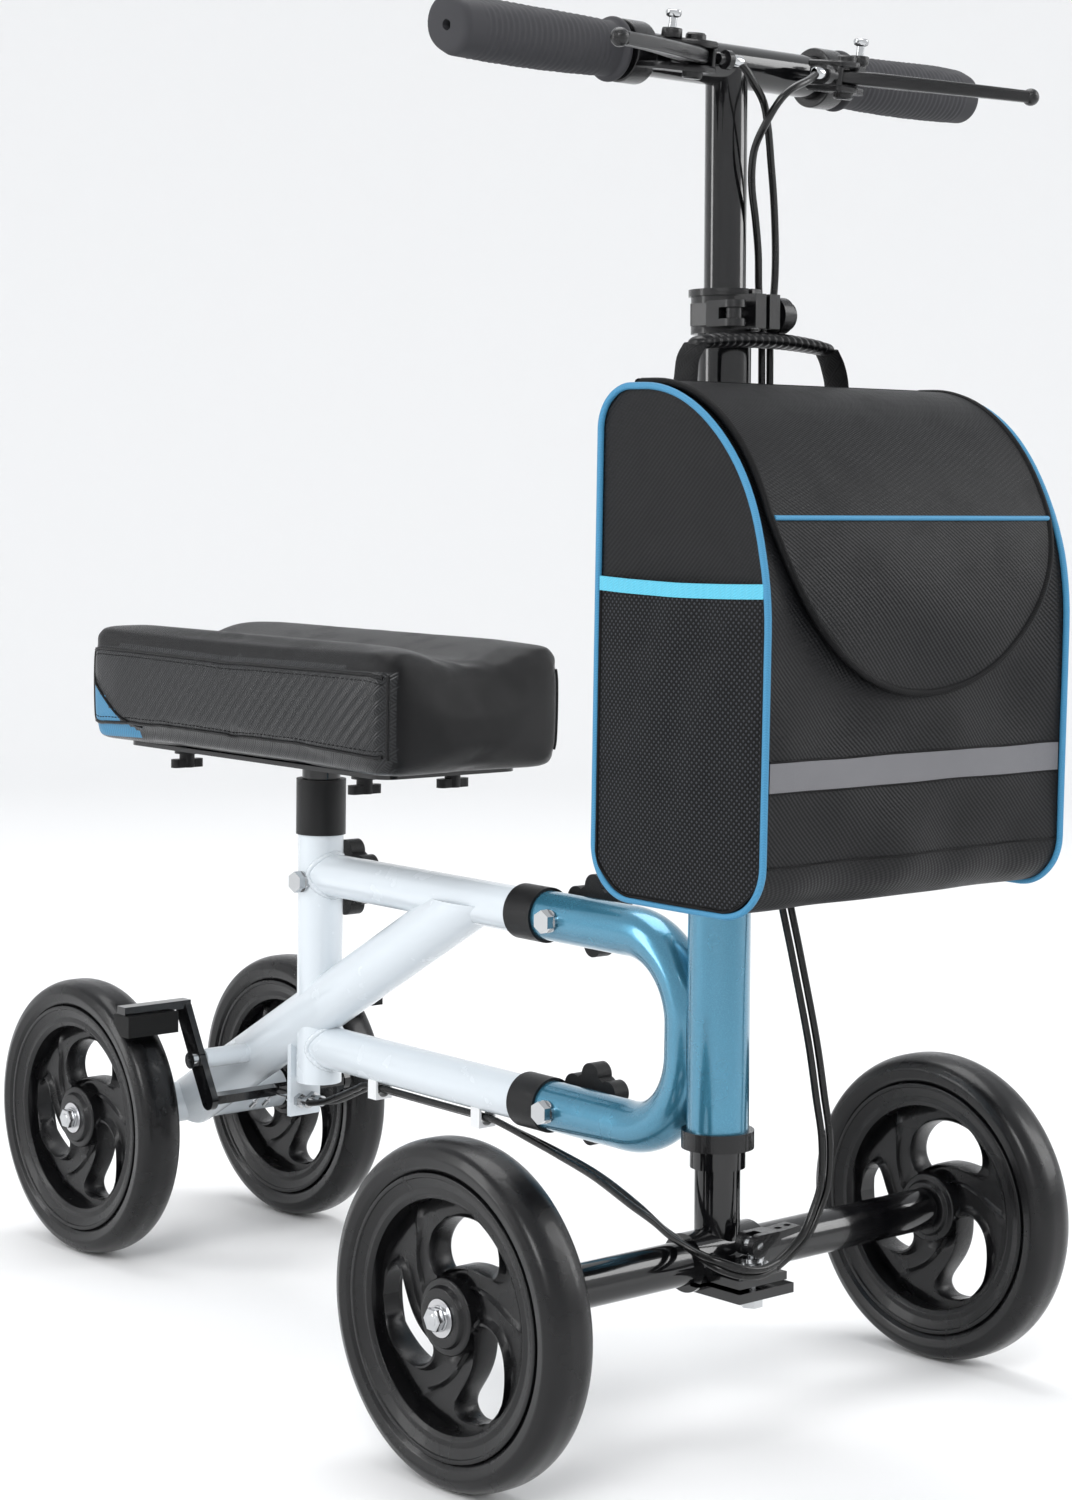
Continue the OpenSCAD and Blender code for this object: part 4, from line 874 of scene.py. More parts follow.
@dataclass
class Studio:
    """Floor, soft lights, surroundings and camera."""

    eye: tuple[float, float, float] = (-1.2339, -1.4974, 0.5720)
    target: tuple[float, float, float] = (-0.03582, -0.11837, 0.39962)
    roll: float = math.radians(0.849)
    lens: float = 70.53
    sensor: float = 36.0

    def camera(self) -> None:
        """The camera at the object's catalogue view, with a small roll about its own axis."""
        data = bpy.data.cameras.new("catalogue_camera")
        data.lens = self.lens
        data.sensor_width = self.sensor
        data.clip_start, data.clip_end = 0.05, 60.0
        made = bpy.data.objects.new("catalogue_camera", data)
        bpy.context.scene.collection.objects.link(made)
        ahead = (Vector(self.target) - Vector(self.eye)).normalized()
        right = ahead.cross(Vector((0, 0, 1))).normalized()
        up = right.cross(ahead)
        tilt_right = right * math.cos(self.roll) + up * math.sin(self.roll)
        tilt_up = up * math.cos(self.roll) - right * math.sin(self.roll)
        axes = Matrix((tilt_right, tilt_up, -ahead)).transposed().to_4x4()
        axes.translation = Vector(self.eye)
        made.matrix_world = axes
        bpy.context.scene.camera = made

    def floor(self) -> None:
        """A wide pale floor just under the tyres, rising in one curve to a wall all round."""
        flat, bend, wall = 3.4, 1.8, 3.2
        a = np.linspace(0, math.pi / 2, 20)
        curve = [(flat + bend * math.sin(t), bend - bend * math.cos(t)) for t in a]
        profile = [(0.0, 0.0), (flat * 0.5, 0.0)] + curve + [(flat + bend, wall), (0.0, wall)]
        shape = turned(profile, (0, 0, -FLOOR_GAP), (0, 0, 1), 96, closed=False)
        top = len(shape.points) - 1
        data = bpy.data.meshes.new("studio_floor")
        data.from_pydata(shape.points.tolist(), [], [f for f in shape.faces if top not in f])
        data.shade_smooth()
        pale = bpy.data.materials.new("pale_floor")
        pale.use_nodes = True
        shader = pale.node_tree.nodes["Principled BSDF"]
        shader.inputs["Base Color"].default_value = colour(0.86, 0.86, 0.86)
        shader.inputs["Roughness"].default_value = 0.85
        shader.inputs["Specular IOR Level"].default_value = 0.05
        data.materials.append(pale)
        made = bpy.data.objects.new("studio_floor", data)
        bpy.context.scene.collection.objects.link(made)

    def light(self, name: str, place: Sequence[float], aim: Sequence[float], size: tuple[float, float],
              power: float) -> None:
        """A rectangular soft light.

        Args:
            name: name of the light.
            place: where it stands.
            aim: the point that it faces.
            size: width and height in metres.
            power: power in watts.
        """
        data = bpy.data.lights.new(name, "AREA")
        data.shape = "RECTANGLE"
        data.size, data.size_y = size
        data.energy = power
        made = bpy.data.objects.new(name, data)
        made.location = place
        made.rotation_euler = (Vector(aim) - Vector(place)).to_track_quat("-Z", "Y").to_euler()
        bpy.context.scene.collection.objects.link(made)

    def build(self) -> None:
        """Sets up the whole studio."""
        self.camera()
        self.floor()
        world = bpy.data.worlds.new("studio_surroundings")
        world.use_nodes = True
        backdrop = world.node_tree.nodes["Background"]
        backdrop.inputs["Color"].default_value = colour(0.95, 0.97, 1.0)
        backdrop.inputs["Strength"].default_value = 0.8
        bpy.context.scene.world = world
        middle_of_object = (0.0, 0.0, 0.4)
        self.light("key_light", (-2.6, -2.2, 2.6), middle_of_object, (1.6, 1.2), 58.0)
        self.light("side_light", (-2.8, 1.6, 1.3), middle_of_object, (0.7, 2.2), 34.0)
        self.light("far_light", (2.4, -1.8, 1.8), middle_of_object, (1.0, 2.0), 36.0)
        self.light("top_light", (0.4, 0.6, 3.2), middle_of_object, (2.0, 2.0), 48.0)
        bpy.context.scene.view_settings.view_transform = "Standard"


# ---------- padded pieces ----------


@dataclass
class Padding:
    """Swells a closed mesh as stuffed fabric, with cloth pressure and a cap on the movement."""

    voxel: float = 0.005
    pressure: float = 4.0
    frames: int = 20
    cap: float = 0.010

    def inflate(self, made: bpy.types.Object) -> None:
        """Remeshes the piece, lets the pressure push it out, and keeps each move under the cap.

        Args:
            made: a closed mesh object at the origin; its mesh is replaced.
        """
        remesh = made.modifiers.new("even_mesh", "REMESH")
        remesh.mode = "VOXEL"
        remesh.voxel_size = self.voxel
        remesh.use_smooth_shade = True
        self.apply(made)
        start = self.read(made)
        cloth = made.modifiers.new("padding", "CLOTH")
        cloth.settings.use_pressure = True
        cloth.settings.uniform_pressure_force = self.pressure
        cloth.settings.effector_weights.gravity = 0.0
        cloth.settings.tension_stiffness = 20
        cloth.settings.compression_stiffness = 20
        cloth.point_cache.frame_start, cloth.point_cache.frame_end = 1, self.frames
        for step in range(1, self.frames + 1):
            bpy.context.scene.frame_set(step)
        self.apply(made)
        bpy.context.scene.frame_set(1)
        end = self.read(made)
        move = end - start
        far = np.linalg.norm(move, axis=1, keepdims=True)
        kept = start + move * np.minimum(1.0, self.cap / np.maximum(far, 1e-9))
        made.data.vertices.foreach_set("co", kept.astype(np.float32).ravel())
        made.data.update()

    def apply(self, made: bpy.types.Object) -> None:
        """Replaces the piece's mesh by what its modifiers show, and drops them."""
        seen = made.evaluated_get(bpy.context.evaluated_depsgraph_get())
        fresh = bpy.data.meshes.new_from_object(seen)
        fresh.name = made.data.name
        made.modifiers.clear()
        made.data = fresh

    def read(self, made: bpy.types.Object) -> np.ndarray:
        """The mesh's points as an array."""
        flat = np.empty(len(made.data.vertices) * 3, np.float32)
        made.data.vertices.foreach_get("co", flat)
        return flat.reshape(-1, 3).astype(float)


def read_points(made: bpy.types.Object) -> np.ndarray:
    """A piece's points as an array."""
    return Padding().read(made)


def shift_points(made: bpy.types.Object, points: np.ndarray) -> None:
    """Puts new points in a piece's mesh."""
    made.data.vertices.foreach_set("co", points.astype(np.float32).ravel())
    made.data.update()


def smooth_step(x: np.ndarray, low: float, high: float) -> np.ndarray:
    """0 below low, 1 above high, and a smooth rise between."""
    t = np.clip((x - low) / (high - low), 0, 1)
    return t * t * (3 - 2 * t)


def on_surface(tree: BVHTree, points: np.ndarray, lift: float) -> np.ndarray:
    """Points brought to the nearest place on a closed surface, and lifted off it outwards.

    A ray from each place along its normal tells which way is out: if most rays meet the surface
    again, the normals look inwards and the lift is turned round.

    Args:
        tree: the surface.
        points: array of points.
        lift: height above the surface.

    Returns:
        Array of points.
    """
    found = [tree.find_nearest(Vector(p)) for p in points]
    near = np.array([f[0] for f in found], float)
    normal = np.array([f[1] for f in found], float)
    tell = [tree.ray_cast(Vector(n + d * 1e-4), Vector(d))[0] is not None for n, d in zip(near, normal)]
    flip = -1.0 if sum(tell) > len(tell) / 2 else 1.0
    return near + normal * lift * flip


def paint_faces(made: bpy.types.Object, finishes: Sequence[Finish],
                choice: Callable[[np.ndarray, np.ndarray], np.ndarray]) -> None:
    """Gives each face one of several finishes.

    Args:
        made: the piece.
        finishes: the finishes, in the order of the numbers that choice returns.
        choice: takes the faces' middles and normals, and returns a whole number for each.
    """
    data = made.data
    data.materials.clear()
    for finish in finishes:
        data.materials.append(finish.material())
    count = len(data.polygons)
    middles, normals = np.empty(count * 3, np.float32), np.empty(count * 3, np.float32)
    data.polygons.foreach_get("center", middles)
    data.polygons.foreach_get("normal", normals)
    picked = choice(middles.reshape(-1, 3), normals.reshape(-1, 3))
    data.polygons.foreach_set("material_index", picked.astype(np.int32))
    data.update()


# ---------- the knee pad ----------


@dataclass
class KneePad:
    """The long knee cushion: a box of vinyl over foam with a channel along its top."""

    bench: Bench
    node: str = "knee_pad"
    body: str = "seat"
    channel: float = 0.0125
    shrink: float = 0.0045
    corner: float = 0.016

    def __post_init__(self) -> None:
        """Takes the cushion's size from its node."""
        low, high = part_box(self.node)
        self.low, self.high = np.array(low), np.array(high)
        self.half = (self.high - self.low) / 2
        self.centre = (self.high + self.low) / 2

    def outline(self, inset: float, count: int = 160) -> np.ndarray:
        """Plan outline of the cushion, a rounded rectangle as (x, y), drawn in by the inset."""
        r = self.corner
        w, l = self.half[0] - inset, self.half[1] - inset
        loop = rounded_corners([(w, -l, r), (w, l, r), (-w, l, r), (-w, -l, r)], 8)
        even = even_path(np.array(loop), 0.0005, closed=True)
        pick = np.linspace(0, len(even), count, endpoint=False).astype(int)
        return even[pick]

    def top_at(self, x: np.ndarray, y: np.ndarray) -> np.ndarray:
        """Height of the top: a lengthwise channel with soft shoulders that round down to the edges."""
        across = np.abs(x) / self.half[0]
        along = np.abs(y - self.centre[1]) / self.half[1]
        dip = self.channel * (np.cos(np.clip(across / 0.78, 0, 1) * math.pi) * 0.5 + 0.5)
        edge = 0.0055 * np.clip((across - 0.80) / 0.20, 0, 1) ** 2
        ends = 0.0060 * np.clip((along - 0.90) / 0.10, 0, 1) ** 2
        return self.high[2] - 0.0015 - dip - edge - ends

    def shell(self) -> Shape:
        """Closed start shape: sides that pull in between the corners, a channelled top and a flat base."""
        base = self.low[2] + 0.0012
        levels = np.linspace(0, 1, 15)
        rim = self.outline(self.shrink)
        rows = []
        for t in levels:
            pull = 0.0022 * math.sin(math.pi * t) ** 0.8
            edge = 0.004 * (max(0.0, 1 - t / 0.10) ** 2 + max(0.0, (t - 0.93) / 0.07) ** 2)
            ring = self.outline(self.shrink + edge - pull * 0.4)
            z = base + t * (self.top_at(ring[:, 0], ring[:, 1] + self.centre[1]) - base)
            rows.append(np.column_stack([ring[:, 0], ring[:, 1] + self.centre[1], z]))
        sides = np.stack(rows)
        inner = []
        for s in (0.94, 0.84, 0.70, 0.52, 0.34, 0.16, 0.04):
            ring = rim * s
            z = self.top_at(ring[:, 0], ring[:, 1] + self.centre[1])
            inner.append(np.column_stack([ring[:, 0], ring[:, 1] + self.centre[1], z]))
        under = [np.column_stack([rim * s + [0, self.centre[1]], np.full(len(rim), base)])
                 for s in (0.1, 0.5, 0.95)]
        return lattice(np.concatenate([np.stack(under), sides, np.stack(inner)]), around=True, caps=True)

    def side_or_top(self, middles: np.ndarray, normals: np.ndarray) -> np.ndarray:
        """0 on the smooth top and ends, 1 on the ribbed sides, 2 on the blue corner gusset."""
        below_seam = middles[:, 2] < self.seam_height(middles[:, 1])
        side = (np.abs(middles[:, 0]) > self.half[0] - 0.014) & below_seam
        back = self.high[1] - middles[:, 1]
        up = middles[:, 2] - self.low[2]
        gusset = side & (up < 0.050 - 0.62 * back) & (up > 0.004)
        return np.where(gusset, 2, np.where(side, 1, 0))

    def seam_height(self, y: np.ndarray) -> np.ndarray:
        """Height of the side's upper seam: level, and turning down towards both ends."""
        t = np.abs(y - self.centre[1]) / self.half[1]
        return self.high[2] - 0.013 - 0.004 * t**6

    def build(self) -> None:
        """Makes the cushion, its piping and its seams."""
        made = self.bench.mesh("knee_pad_cover", self.shell(), VINYL, 180.0)
        Padding(voxel=0.0045, pressure=1.2, cap=0.0028).inflate(made)
        points = read_points(made)
        points[:, 2] = np.maximum(points[:, 2], self.low[2] + 0.0004)
        points[:, 0] = np.clip(points[:, 0], self.low[0] - 0.003, self.high[0] + 0.003)
        up = points[:, 2]
        for seam in (self.seam_height(points[:, 1]), np.full(len(points), self.low[2] + 0.010)):
            near = np.exp(-(((up - seam) / 0.0035) ** 2))
            side = smooth_step(np.abs(points[:, 0]), self.half[0] - 0.020, self.half[0] - 0.010)
            points[:, 0] -= np.sign(points[:, 0]) * near * side * 0.0018
        shift_points(made, points)
        subdivide = made.modifiers.new("fine_surface", "SUBSURF")
        subdivide.levels = subdivide.render_levels = 1
        paint_faces(made, [VINYL, CARBON_VINYL, BLUE_FABRIC], self.side_or_top)
        made.data.shade_smooth()
        self.bench.finish_piece(made, self.body, "pad_cover", [self.node])
        self.trim(made)

    def trim(self, cover: bpy.types.Object) -> None:
        """Piping along the seams and stitches beside them, laid on the swollen surface."""
        tree = BVHTree.FromObject(cover, bpy.context.evaluated_depsgraph_get())
        reach = self.half[1] - 0.006
        y = np.linspace(-reach, reach, 120) + self.centre[1]
        shapes, stitches = [], []
        for side in (-1.0, 1.0):
            for height in (self.seam_height(y), np.full(len(y), self.low[2] + 0.010)):
                route = np.column_stack([np.full(len(y), side * (self.half[0] + 0.004)), y, height])
                line = on_surface(tree, route, 0.0002)
                shapes.append(sweep(line, 0.0013, 8))
                drop = line.copy()
                drop[:, 2] -= 0.0042 if height[0] > self.centre[2] else -0.0042
                stitches.append(self.stitch_row(on_surface(tree, drop, 0.0002)))
            for end in (-1.0, 1.0):
                z = np.linspace(self.low[2] + 0.010, float(self.seam_height(y[:1])[0]), 30)
                route = np.column_stack([np.full(30, side * (self.half[0] - 0.004)),
                                         np.full(30, self.centre[1] + end * (self.half[1] - 0.004)), z])
                shapes.append(sweep(on_surface(tree, route, 0.0002), 0.0012, 8, up=(0.9, 0.3, 0.1)))
        self.join("knee_pad_piping", shapes, VINYL)
        self.join("knee_pad_stitches", stitches, BINDING)
        gusset = self.gusset_edge(tree)
        self.join("knee_pad_gusset_edge", gusset, BINDING)

    def gusset_edge(self, tree: BVHTree) -> list[Shape]:
        """Tape along the slanted edge of the blue corner on each side."""
        t = np.linspace(0, 1, 40)
        back = 0.004 + t * 0.072
        up = np.maximum(0.006, 0.050 - 0.62 * back)
        shapes = []
        for side in (-1.0, 1.0):
            route = np.column_stack([np.full(40, side * (self.half[0] + 0.004)), self.high[1] - back,
                                     self.low[2] + up])
            shapes.append(sweep(on_surface(tree, route, 0.0001), 0.0010, 8))
        return shapes

    def stitch_row(self, line: np.ndarray) -> Shape:
        """Short raised threads, four millimetres apart, along a line."""
        step = smooth_path(line, 0.0045)
        shapes = nothing()
        for a, b in zip(step[:-1], step[1:]):
            run = (b - a) * 0.62
            path = np.stack([a, a + run * 0.33, a + run * 0.66, a + run])
            shapes = shapes + sweep(path, np.array([0.0002, 0.00038, 0.00038, 0.0002]), 5)
        return shapes

    def join(self, name: str, shapes: Sequence[Shape], finish: Finish) -> None:
        """One piece on the seat from several shapes."""
        whole = nothing()
        for shape in shapes:
            whole = whole + shape
        self.bench.piece(name, whole, finish, self.body, "pad_cover", smooth=60.0)


# ---------- the bag ----------


@dataclass
class Bag:
    """The soft bag on the column: body with piped side panels, flap, pocket and handle.

    `arc_start`, `flap_low`, `handle_top` and `loop_lows` are heights; the rest are radii and half widths.
    """

    bench: Bench
    body: str = "column"
    back_r: float = 0.024
    low_r: float = 0.030
    arc_start: float = 0.488
    flap_low: float = 0.452
    handle_half: float = 0.056
    handle_top: float = 0.650
    loop_half: float = 0.0125
    loop_lows: tuple[float, float] = (0.330, 0.450)

    def __post_init__(self) -> None:
        """Takes the bag's size from its nodes."""
        low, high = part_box("bag_body")
        self.low, self.high = np.array(low), np.array(high)
        self.half = (self.high[0] - self.low[0]) / 2
        flap_low, flap_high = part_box("bag_flap")
        self.flap_half = (flap_high.x - flap_low.x) / 2
        self.hinge_y = flap_high.y

    def profile(self, inset: float, count: int = 180) -> np.ndarray:
        """Side outline as (y, z): low front corner, tall front arch, back corner, drawn in by the inset.

        The arch is a quarter ellipse; its height is the bag's top over the arch's start, and its depth
        three quarters of that.
        """
        front, back, base, top = self.low[1], self.high[1], self.low[2], self.high[2]
        rise = top - self.arc_start
        reach = rise * 0.75
        a = np.linspace(0, math.pi / 2, 26)
        arch = np.column_stack([front + reach - (reach - inset) * np.cos(a),
                                self.arc_start + (rise - inset) * np.sin(a)])
        b, l = self.back_r, self.low_r
        back_top = np.column_stack([back - b + (b - inset) * np.sin(a), top - b + (b - inset) * np.cos(a)])
        back_low = np.column_stack([back - l + (l - inset) * np.cos(a), base + l - (l - inset) * np.sin(a)])
        front_low = np.column_stack([front + l - (l - inset) * np.sin(a), base + l - (l - inset) * np.cos(a)])
        loop = np.vstack([arch, back_top, back_low, front_low])
        even = even_path(loop, 0.0004, closed=True)
        pick = np.linspace(0, len(even), count, endpoint=False).astype(int)
        return even[pick]

    def sag(self, p: np.ndarray) -> np.ndarray:
        """Soft hollows and folds: slow waves on every panel and a slump towards the base.

        Each point moves in y and x by products of sines of its height and place, less near the piped
        edges, so the seams stay true.
        """
        out = p.copy()
        mid_z = (self.low[2] + self.high[2]) / 2
        t = np.clip((p[:, 2] - self.low[2]) / (self.high[2] - self.low[2]), 0, 1)
        across = np.clip(1 - (np.abs(p[:, 0]) / self.half) ** 6, 0, 1)
        fold = np.sin(p[:, 0] * 46 + p[:, 2] * 31) * np.sin(p[:, 2] * 38 + 0.6) * 0.0016
        fold += np.sin(p[:, 0] * 91 - p[:, 2] * 57 + 1.3) * 0.0006
        low = np.exp(-(((p[:, 2] - self.low[2] - 0.055) / 0.060) ** 2))
        crease = np.abs(np.sin(p[:, 0] * 27 + 6 * (p[:, 2] - self.low[2]) + 0.9)) ** 6
        fold += low * (0.0022 * crease * np.sin(p[:, 0] * 11 + 0.4) - 0.0014 * np.sin(p[:, 0] * 17 + 2.0))
        front = np.clip((self.high[1] - 0.03 - p[:, 1]) / 0.05, 0, 1)
        out[:, 1] += fold * across * front + 0.0022 * np.sin(math.pi * t) * across * front
        panel = np.clip(np.abs(p[:, 0]) / self.half, 0, 1) ** 10
        depth = np.clip(1 - ((p[:, 1] - (self.low[1] + self.high[1]) / 2) / 0.062) ** 4, 0, 1)
        dent = 0.0030 * depth * (0.6 + 0.4 * np.sin(p[:, 2] * 33 + p[:, 1] * 27)) * np.sin(math.pi * t) ** 0.6
        out[:, 0] -= np.sign(p[:, 0]) * panel * dent
        out[:, 2] -= 0.0012 * np.sin(p[:, 0] * 30 + 0.5) * (p[:, 2] > mid_z) * across
        return out

    def shell(self) -> Shape:
        """The body: the side outline carried across the width, closed by a panel at each side."""
        edge = self.profile(0.0012)
        hub = (edge.max(0) + edge.min(0)) / 2
        side = self.half - 0.0012
        panel = [(side, k) for k in np.linspace(0.03, 0.985, 22)]
        across = [(x, 1.0) for x in np.linspace(side - 0.0004, 0.0004 - side, 64)]
        rings = panel + across + [(-x, k) for x, k in reversed(panel)]
        rows = [np.column_stack([np.full(len(edge), x), hub + (edge - hub) * k]) for x, k in rings]
        return lattice(np.stack(rows), around=True, caps=True)

    def build_body(self) -> None:
        """The bag's body in twill, softened and sagged."""
        shape = self.shell().mapped(self.sag)
        made = self.bench.piece("bag_shell", shape, TWILL, self.body, "bag_fabric", ["bag_body"], 60.0)
        self.surface = BVHTree.FromObject(made, bpy.context.evaluated_depsgraph_get())
        self.piped_edges()
        self.reflective_strip()
        self.side_pockets()

    def piped_edges(self) -> None:
        """Light blue piping round both side panels."""
        shapes = nothing()
        for side in (-1.0, 1.0):
            outline = self.profile(0.0004, 360)
            path = np.column_stack([np.full(len(outline), side * (self.half - 0.0004)), outline])
            shapes = shapes + sweep(self.sag(path), 0.0020, 8, closed=True, up=(1.0, 0.02, 0.03))
        self.bench.piece("bag_side_piping", shapes, PIPING, self.body, "bag_fabric", smooth=60.0)

    def ribbon(self, rows: np.ndarray, lift: float, thick: float) -> Shape:
        """A thin tape laid on the bag.

        Args:
            rows: array (2, n, 3) with the tape's two edges, near the surface.
            lift: height of its underside above the bag.
            thick: thickness of the tape.

        Returns:
            The closed tape.
        """
        n = rows.shape[1]
        middle_rows = np.stack([rows[0] * (1 - t) + rows[1] * t for t in np.linspace(0, 1, 5)])
        flat = middle_rows.reshape(-1, 3)
        low = on_surface(self.surface, flat, lift).reshape(5, n, 3)
        high = on_surface(self.surface, flat, lift + thick).reshape(5, n, 3)
        loop = np.concatenate([low, high[::-1]])
        return lattice(np.swapaxes(loop, 0, 1), around=True, caps=True)

    def front_span(self, z: float, x_in: float = 0.004) -> np.ndarray:
        """Points across the front of the bag at a height."""
        x = np.linspace(-self.half + x_in, self.half - x_in, 70)
        return np.column_stack([x, np.full(70, self.low[1] - 0.002), np.full(70, z)])

    def reflective_strip(self) -> None:
        """Grey reflective strip across the front, and the seams above and below it."""
        strip = self.ribbon(np.stack([self.front_span(0.4035), self.front_span(0.4195)]), 0.0001, 0.0006)
        self.bench.piece("bag_reflective_strip", strip, REFLECTIVE, self.body, "bag_fabric", smooth=60.0)
        seam = nothing()
        for z in (0.4030, 0.4200, 0.3625):
            seam = seam + sweep(on_surface(self.surface, self.front_span(z), 0.0003), 0.0007, 6)
        self.bench.piece("bag_front_seams", seam, BINDING, self.body, "bag_fabric", smooth=60.0)

    def side_pockets(self) -> None:
        """Netting pocket on each side panel, bellied out, with a cyan elastic along its mouth."""
        front, back, base, mouth = self.low[1] + 0.003, self.high[1] - 0.003, self.low[2] + 0.003, 0.514
        u, v = np.meshgrid(np.linspace(0, 1, 30), np.linspace(0, 1, 44), indexing="ij")
        y = front + (back - front) * u
        top = mouth - 0.0015 * np.sin(math.pi * u)
        z = base + (top - base) * v
        corner = 0.022 * (np.clip((0.12 - v) / 0.12, 0, 1) ** 2)
        y = y + (0.5 - u) * 2 * corner
        belly = 0.0050 * np.sin(math.pi * u) ** 0.7 * (0.30 + 0.70 * np.sin(math.pi * np.clip(v, 0, 1)) ** 0.8)
        belly = belly + 0.0010 * np.sin(y * 130 + z * 40) * np.sin(math.pi * u) * v
        nets, bands, hems = (nothing() for _ in range(3))
        for side in (-1.0, 1.0):
            outer = np.stack([side * (self.half - 0.0002 + belly), y, z], -1)
            inner = np.stack([side * (self.half - 0.0010 + belly), y, z], -1)
            nets = nets + self.closed_sheet(outer, inner)
            edge = outer[:, -1]
            bands = bands + self.band(edge, 0.0080, 0.0014, side)
            rim = np.vstack([outer[0, ::-1], outer[:, 0], outer[-1]])
            hems = hems + sweep(smooth_path(rim[::3], 0.004), 0.0011, 6, up=(1.0, 0.1, 0.1))
        self.bench.piece("bag_side_netting", nets, NETTING, self.body, "bag_fabric", smooth=60.0)
        self.bench.piece("bag_pocket_elastic", bands, ELASTIC, self.body, "bag_fabric", smooth=60.0)
        self.bench.piece("bag_pocket_hems", hems, BINDING, self.body, "bag_fabric", smooth=60.0)

    def closed_sheet(self, outer: np.ndarray, inner: np.ndarray) -> Shape:
        """A thin closed sheet between two grids of points: each row's outer run, then its inner run back."""
        loop = np.concatenate([outer, inner[:, ::-1]], 1)
        return lattice(loop, around=True, caps=True)

    def band(self, edge: np.ndarray, height: float, thick: float, side: float) -> Shape:
        """A gathered elastic band hanging from an edge, with small even puckers."""
        s = np.linspace(0, 1, 160)
        path = np.column_stack([np.interp(s, np.linspace(0, 1, len(edge)), edge[:, k]) for k in range(3)])
        pucker = 0.0004 * np.sin(s * 2 * math.pi * 26)
        out, under = thick + pucker, np.full(160, -0.0004)
        high, low = np.zeros(160), np.full(160, -height)
        corners = [(out, high), (out, low), (under, low), (under, high)]
        loop = [path + np.column_stack([side * dx, 0 * s, dz + 0.001]) for dx, dz in corners]
        return lattice(np.stack(loop, 1), around=True, caps=True)

    def flap_grid(self, inset: float, lift: float, rows: int = 110, cols: int = 81) -> np.ndarray:
        """Grid on the flap's surface.

        Each column follows the side outline from the hinge over the top and down the front, and stops
        where its height meets a half circle of the flap's half width.

        Args:
            inset: distance that the edges are drawn in.
            lift: height above the bag's outline.
            rows: steps along the outline.
            cols: steps across.

        Returns:
            Array (rows, cols, 3).
        """
        half = self.flap_half - inset
        x = half * np.sin(np.linspace(-math.pi / 2, math.pi / 2, cols))
        outline = self.profile(-lift, 1200)
        off_top = 10 * (outline[:, 1] < self.high[2] - 0.010)
        start = int(np.argmin(np.abs(outline[:, 0] - self.hinge_y + inset) + off_top))
        line = np.array([outline[(start - k) % len(outline)] for k in range(len(outline) * 3 // 5)])
        line = line[: int(np.argmin(line[:, 1])) or len(line)]
        step = np.concatenate([[0], np.cumsum(np.linalg.norm(np.diff(line, axis=0), axis=1))])
        low_edge = self.flap_low + inset + self.flap_half - np.sqrt(np.clip(self.flap_half**2 - x**2, 0, None))
        front = line[:, 0] < self.low[1] + 0.075
        ends = np.interp(-low_edge, -line[front, 1], step[front])
        s = np.linspace(0, 1, rows)[:, None] * ends[None, :]
        y, z = np.interp(s, step, line[:, 0]), np.interp(s, step, line[:, 1])
        return np.stack([np.broadcast_to(x, s.shape), y, z], -1)

    def flap_wave(self, p: np.ndarray) -> np.ndarray:
        """The flap's padding and soft folds: lifts in the middle of each panel, still at its edges."""
        out = p.copy()
        t = np.clip((self.high[2] - p[..., 2]) / (self.high[2] - self.flap_low), 0, 1)
        wave = 0.0010 * np.sin(p[..., 0] * 52 + p[..., 2] * 24) * np.sin(p[..., 2] * 44) * t
        wave += 0.0018 * np.sin(math.pi * t) * np.clip(1 - (np.abs(p[..., 0]) / self.flap_half) ** 3, 0, 1)
        out[..., 1] -= wave
        return out

    def build_flap(self) -> None:
        """The padded flap with its bound edge and the piping across it."""
        outer = self.flap_wave(self.flap_grid(0.0015, 0.0029))
        inner = self.flap_wave(self.flap_grid(0.0015, 0.0008))
        self.bench.piece("bag_flap_panel", self.closed_sheet(outer, inner), TWILL, "bag_flap", "bag_fabric",
                         ["bag_flap"], 60.0)
        edge = self.flap_wave(self.flap_grid(0.0012, 0.0019))
        rim = np.vstack([edge[:, 0], edge[-1, 1:-1], edge[::-1, -1], edge[0, -2:0:-1]])
        rim = even_path(rim, 0.0025, closed=True)
        self.bench.piece("bag_flap_binding", sweep(rim, 0.0024, 8, closed=True, up=(0.3, 0.9, 0.31)), BINDING,
                         "bag_flap", "bag_fabric", smooth=60.0)
        grid = self.flap_wave(self.flap_grid(0.0030, 0.0034))
        lines = sweep(self.cross_line(grid, 0.550), 0.0014, 8)
        self.bench.piece("bag_flap_piping", lines, PIPING, "bag_flap", "bag_fabric", smooth=60.0)

    def cross_line(self, grid: np.ndarray, z: float) -> np.ndarray:
        """Points across the flap at a height, one in each column that reaches it."""
        points = []
        for k in range(grid.shape[1]):
            front = grid[len(grid) // 4:, k]
            if front[-1, 2] < z:
                points.append([front[0, 0], np.interp(-z, -front[:, 2], front[:, 1]), z])
        return np.array(points)

